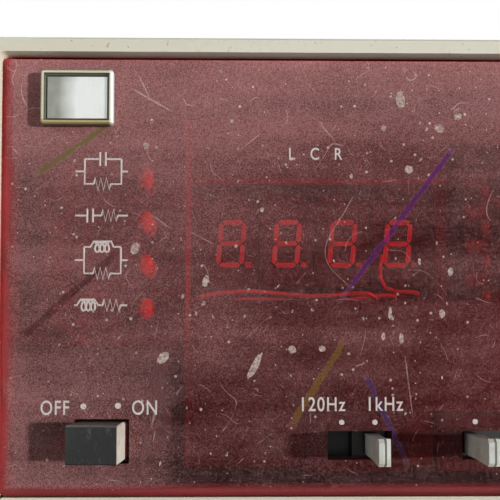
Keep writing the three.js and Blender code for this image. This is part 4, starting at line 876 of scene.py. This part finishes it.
def slotted_head(shape, radius, rise, place, turn):
    """A slotted screw head standing up from the origin, then moved to its place: a disc and two cut halves."""
    parts = bmesh.new()
    lift = Matrix.Translation((0, 0, rise * 0.2))
    bmesh.ops.create_cone(parts, cap_ends=True, segments=HEAD_SIDES, radius1=radius, radius2=radius,
                          depth=rise * 0.4, matrix=lift)
    for side in (-1, 1):
        half = bmesh.ops.create_cone(parts, cap_ends=True, segments=HEAD_SIDES, radius1=radius,
                                     radius2=radius * 0.86, depth=rise,
                                     matrix=Matrix.Translation((0, 0, rise * 0.5)))
        verts = half["verts"]
        faces = {face for vert in verts for face in vert.link_faces}
        edges = {edge for vert in verts for edge in vert.link_edges}
        cut = bmesh.ops.bisect_plane(parts, geom=[*verts, *edges, *faces], plane_co=(side * SLOT_HALF, 0, 0),
                                     plane_no=(side, 0, 0), clear_inner=True)
        rim = [part for part in cut["geom_cut"] if isinstance(part, bmesh.types.BMEdge)]
        bmesh.ops.contextual_create(parts, geom=rim)
    bmesh.ops.recalc_face_normals(parts, faces=parts.faces)
    bmesh.ops.transform(parts, matrix=place @ Matrix.Rotation(math.radians(turn), 4, "Z"), verts=parts.verts)
    mesh = bpy.data.meshes.new("head")
    parts.to_mesh(mesh)
    parts.free()
    shape.from_mesh(mesh)
    bpy.data.meshes.remove(mesh)


# Outsides of the covers and of the rear fittings, and the screws' places on them, in millimetres
TOP_COVER_FACE = 146.5
BOTTOM_COVER_FACE = 14.9
REAR_PANEL_FACE = 158.4
INLET_FACE = 160.9
SELECTOR_FACE = 160.3
TOP_SCREWS = [(across, along) for across in (-92, 92) for along in (-127, 138)]
BOTTOM_SCREWS = [(across, along) for across in (-58, 58) for along in (-128, 138)]
REAR_SCREWS = [(across, high) for across in (-62, 0, 62) for high in (26, 135)]
INLET_SCREWS = [(37.5, 48.4), (75.5, 48.4)]
SELECTOR_SCREWS = [(-41.6, 48.4), (-17.4, 48.4)]


def screws(material):
    """The small fasteners that hold the covers, the rear panel and its fittings."""
    chance = random.Random(17)
    up = Matrix.Identity(4)
    down = Matrix.Rotation(math.radians(180), 4, "X")
    back = Matrix.Rotation(math.radians(-90), 4, "X")

    # Head radius, how far it stands out, which way it looks, and the places
    sets = {
        "top_cover_screws": (2.9, 0.45, up, [(x, y, TOP_COVER_FACE) for x, y in TOP_SCREWS]),
        "bottom_cover_screws": (2.9, 1.4, down, [(x, y, BOTTOM_COVER_FACE) for x, y in BOTTOM_SCREWS]),
        "rear_panel_screws": (2.7, 1.4, back, [(x, REAR_PANEL_FACE, z) for x, z in REAR_SCREWS]),
        "inlet_screws": (2.2, 1.1, back, [(x, INLET_FACE, z) for x, z in INLET_SCREWS]),
        "selector_screws": (1.9, 0.9, back, [(x, SELECTOR_FACE, z) for x, z in SELECTOR_SCREWS]),
    }
    for name, (radius, rise, way, places) in sets.items():
        shape = bmesh.new()
        for place in places:
            slotted_head(shape, radius, rise, Matrix.Translation(place) @ way, chance.uniform(0, 180))
        solid_object(name, shape, material)


# The zero knobs, in millimetres and degrees: their middles and front, the ring of tick marks round each with how far
# out a tick starts and ends, how far out the pointer line starts and ends, and the widths of both
KNOB_CENTRES = {"left": (-83.5, 35.8), "right": (-59.5, 35.8)}
KNOB_FACE = -165.4
TICK_COUNT = 11
TICK_REACH = 140
TICK_START = 9.4
TICK_END = 10.6
LONG_TICK_END = 11.4
POINTER_START = 2.4
POINTER_END = 5.8
TICK_STROKE = 0.4
POINTER_STROKE = 0.7


def knob_marks(dark, white):
    """A ring of tick marks round each zero knob, and a line on the knob that points at them."""
    for side, (across, up) in KNOB_CENTRES.items():
        ticks = []
        for index in range(TICK_COUNT):
            angle = math.radians(-TICK_REACH + index * 2 * TICK_REACH / (TICK_COUNT - 1))
            way = (math.sin(angle), math.cos(angle))
            end = LONG_TICK_END if index in (0, TICK_COUNT // 2, TICK_COUNT - 1) else TICK_END
            ticks.append([(across + way[0] * out, up + way[1] * out) for out in (TICK_START, end)])
        strokes(f"zero_ticks_{side}", ticks, TICK_STROKE, PANEL_FACE, dark)
        pointer = [[(across, up + POINTER_START), (across, up + POINTER_END)]]
        strokes(f"zero_pointer_{side}", pointer, POINTER_STROKE, KNOB_FACE, white, f"zero_dial_{side}")


# The camera, fitted to the photograph: place in millimetres, turn in degrees
CAMERA_PLACE = (-54.82, -289.5, 82.5)
CAMERA_TURN = (92.0, 0, -0.73)


def set_camera():
    camera = bpy.data.cameras.new("photograph_view")
    camera.lens = 46.8
    camera.sensor_width = 36
    camera.shift_x = 0.021
    camera.shift_y = 0.15
    camera.clip_start = 0.01
    holder = linked("photograph_view", camera)
    holder.location = [place * MM for place in CAMERA_PLACE]
    holder.rotation_euler = [math.radians(turn) for turn in CAMERA_TURN]
    bpy.context.scene.camera = holder


# Lamps: the direction they stand in from the front's middle, their distance and size in metres, and their watts
LAMPS = {
    "key_from_right": ((0.82, -0.55, 0.0), 3.0, 0.14, 79),
    "fill_from_front": ((-0.6, -1.0, 0.4), 1.6, 1.2, 1.6),
    "fill_from_behind": ((-0.5, 1.0, 0.8), 1.8, 1.2, 20),
}
LAMP_AIM = (0, -0.08, 0.08)
SKY_LIGHT = 0.08


def lamp(name, towards, distance, size, watts):
    """A square studio lamp that looks at the front from one direction."""
    light = bpy.data.lights.new(name, "AREA")
    light.shape = "SQUARE"
    light.size = size
    light.energy = watts
    holder = linked(name, light)
    way = Vector(towards).normalized()
    holder.location = Vector(LAMP_AIM) + way * distance
    holder.rotation_euler = way.to_track_quat("Z", "Y").to_euler()


def set_lights():
    """The lamps, and a sky that is white to look at but lights the part only a little."""
    for name, settings in LAMPS.items():
        lamp(name, *settings)
    world = bpy.data.worlds.new("studio")
    world.use_nodes = True
    made = Nodes(world.node_tree)
    level = made.spread(made.looked_at(), 0.0, 1.0, SKY_LIGHT, 1.0)
    sky = made.add("Background", {"Color": CLEAR, "Strength": level})
    made.add("OutputWorld", {"Surface": sky.outputs[0]})
    bpy.context.scene.world = world


# The studio floor, in metres: its radius, and between which distances it turns white to look at
FLOOR_RADIUS = 4.0
FLOOR_FADE = (0.35, 1.3)


def set_floor():
    """A pale floor that takes the part's shadow and runs out into the white sky."""
    made = Finish("pale_studio_floor")
    tone = made.blend(made.spread(made.noise(3, 3), 0.3, 0.7), paint(232, 231, 228), paint(240, 239, 236))
    out = made.add("VectorMath", {0: made.place}, operation="LENGTH").outputs["Value"]
    share = made.all_of(made.looked_at(), made.spread(out, *FLOOR_FADE))
    white = made.add("Emission", {"Color": CLEAR, "Strength": 1.0}).outputs[0]
    shape = bmesh.new()
    bmesh.ops.create_circle(shape, cap_ends=True, segments=96, radius=FLOOR_RADIUS)
    mesh = bpy.data.meshes.new("floor")
    shape.to_mesh(mesh)
    shape.free()
    mesh.materials.append(made.done(made.mixed(share, made.surface(tone, 0.7), white)))
    floor = linked("floor", mesh)


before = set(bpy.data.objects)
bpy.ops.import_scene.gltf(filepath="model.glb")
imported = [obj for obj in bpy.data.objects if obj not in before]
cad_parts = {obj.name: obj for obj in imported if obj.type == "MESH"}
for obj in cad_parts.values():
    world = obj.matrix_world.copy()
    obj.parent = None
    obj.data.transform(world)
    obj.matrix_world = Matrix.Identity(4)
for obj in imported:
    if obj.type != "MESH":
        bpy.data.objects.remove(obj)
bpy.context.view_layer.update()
bpy.context.scene.view_settings.view_transform = "Standard"
set_camera()
set_lights()
set_floor()
dress_nodes(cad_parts)
white = screen_print()
draw_symbols(white)
draw_words(white)
dried_drops(drop_crust())
screws(brushed("screw_steel", paint(168, 166, 158), paint(104, 100, 90), (1, 40, 1), 0.36))
knob_marks(moulded("dark_panel_ink", paint(60, 56, 48), paint(92, 86, 74), 0.5), white)
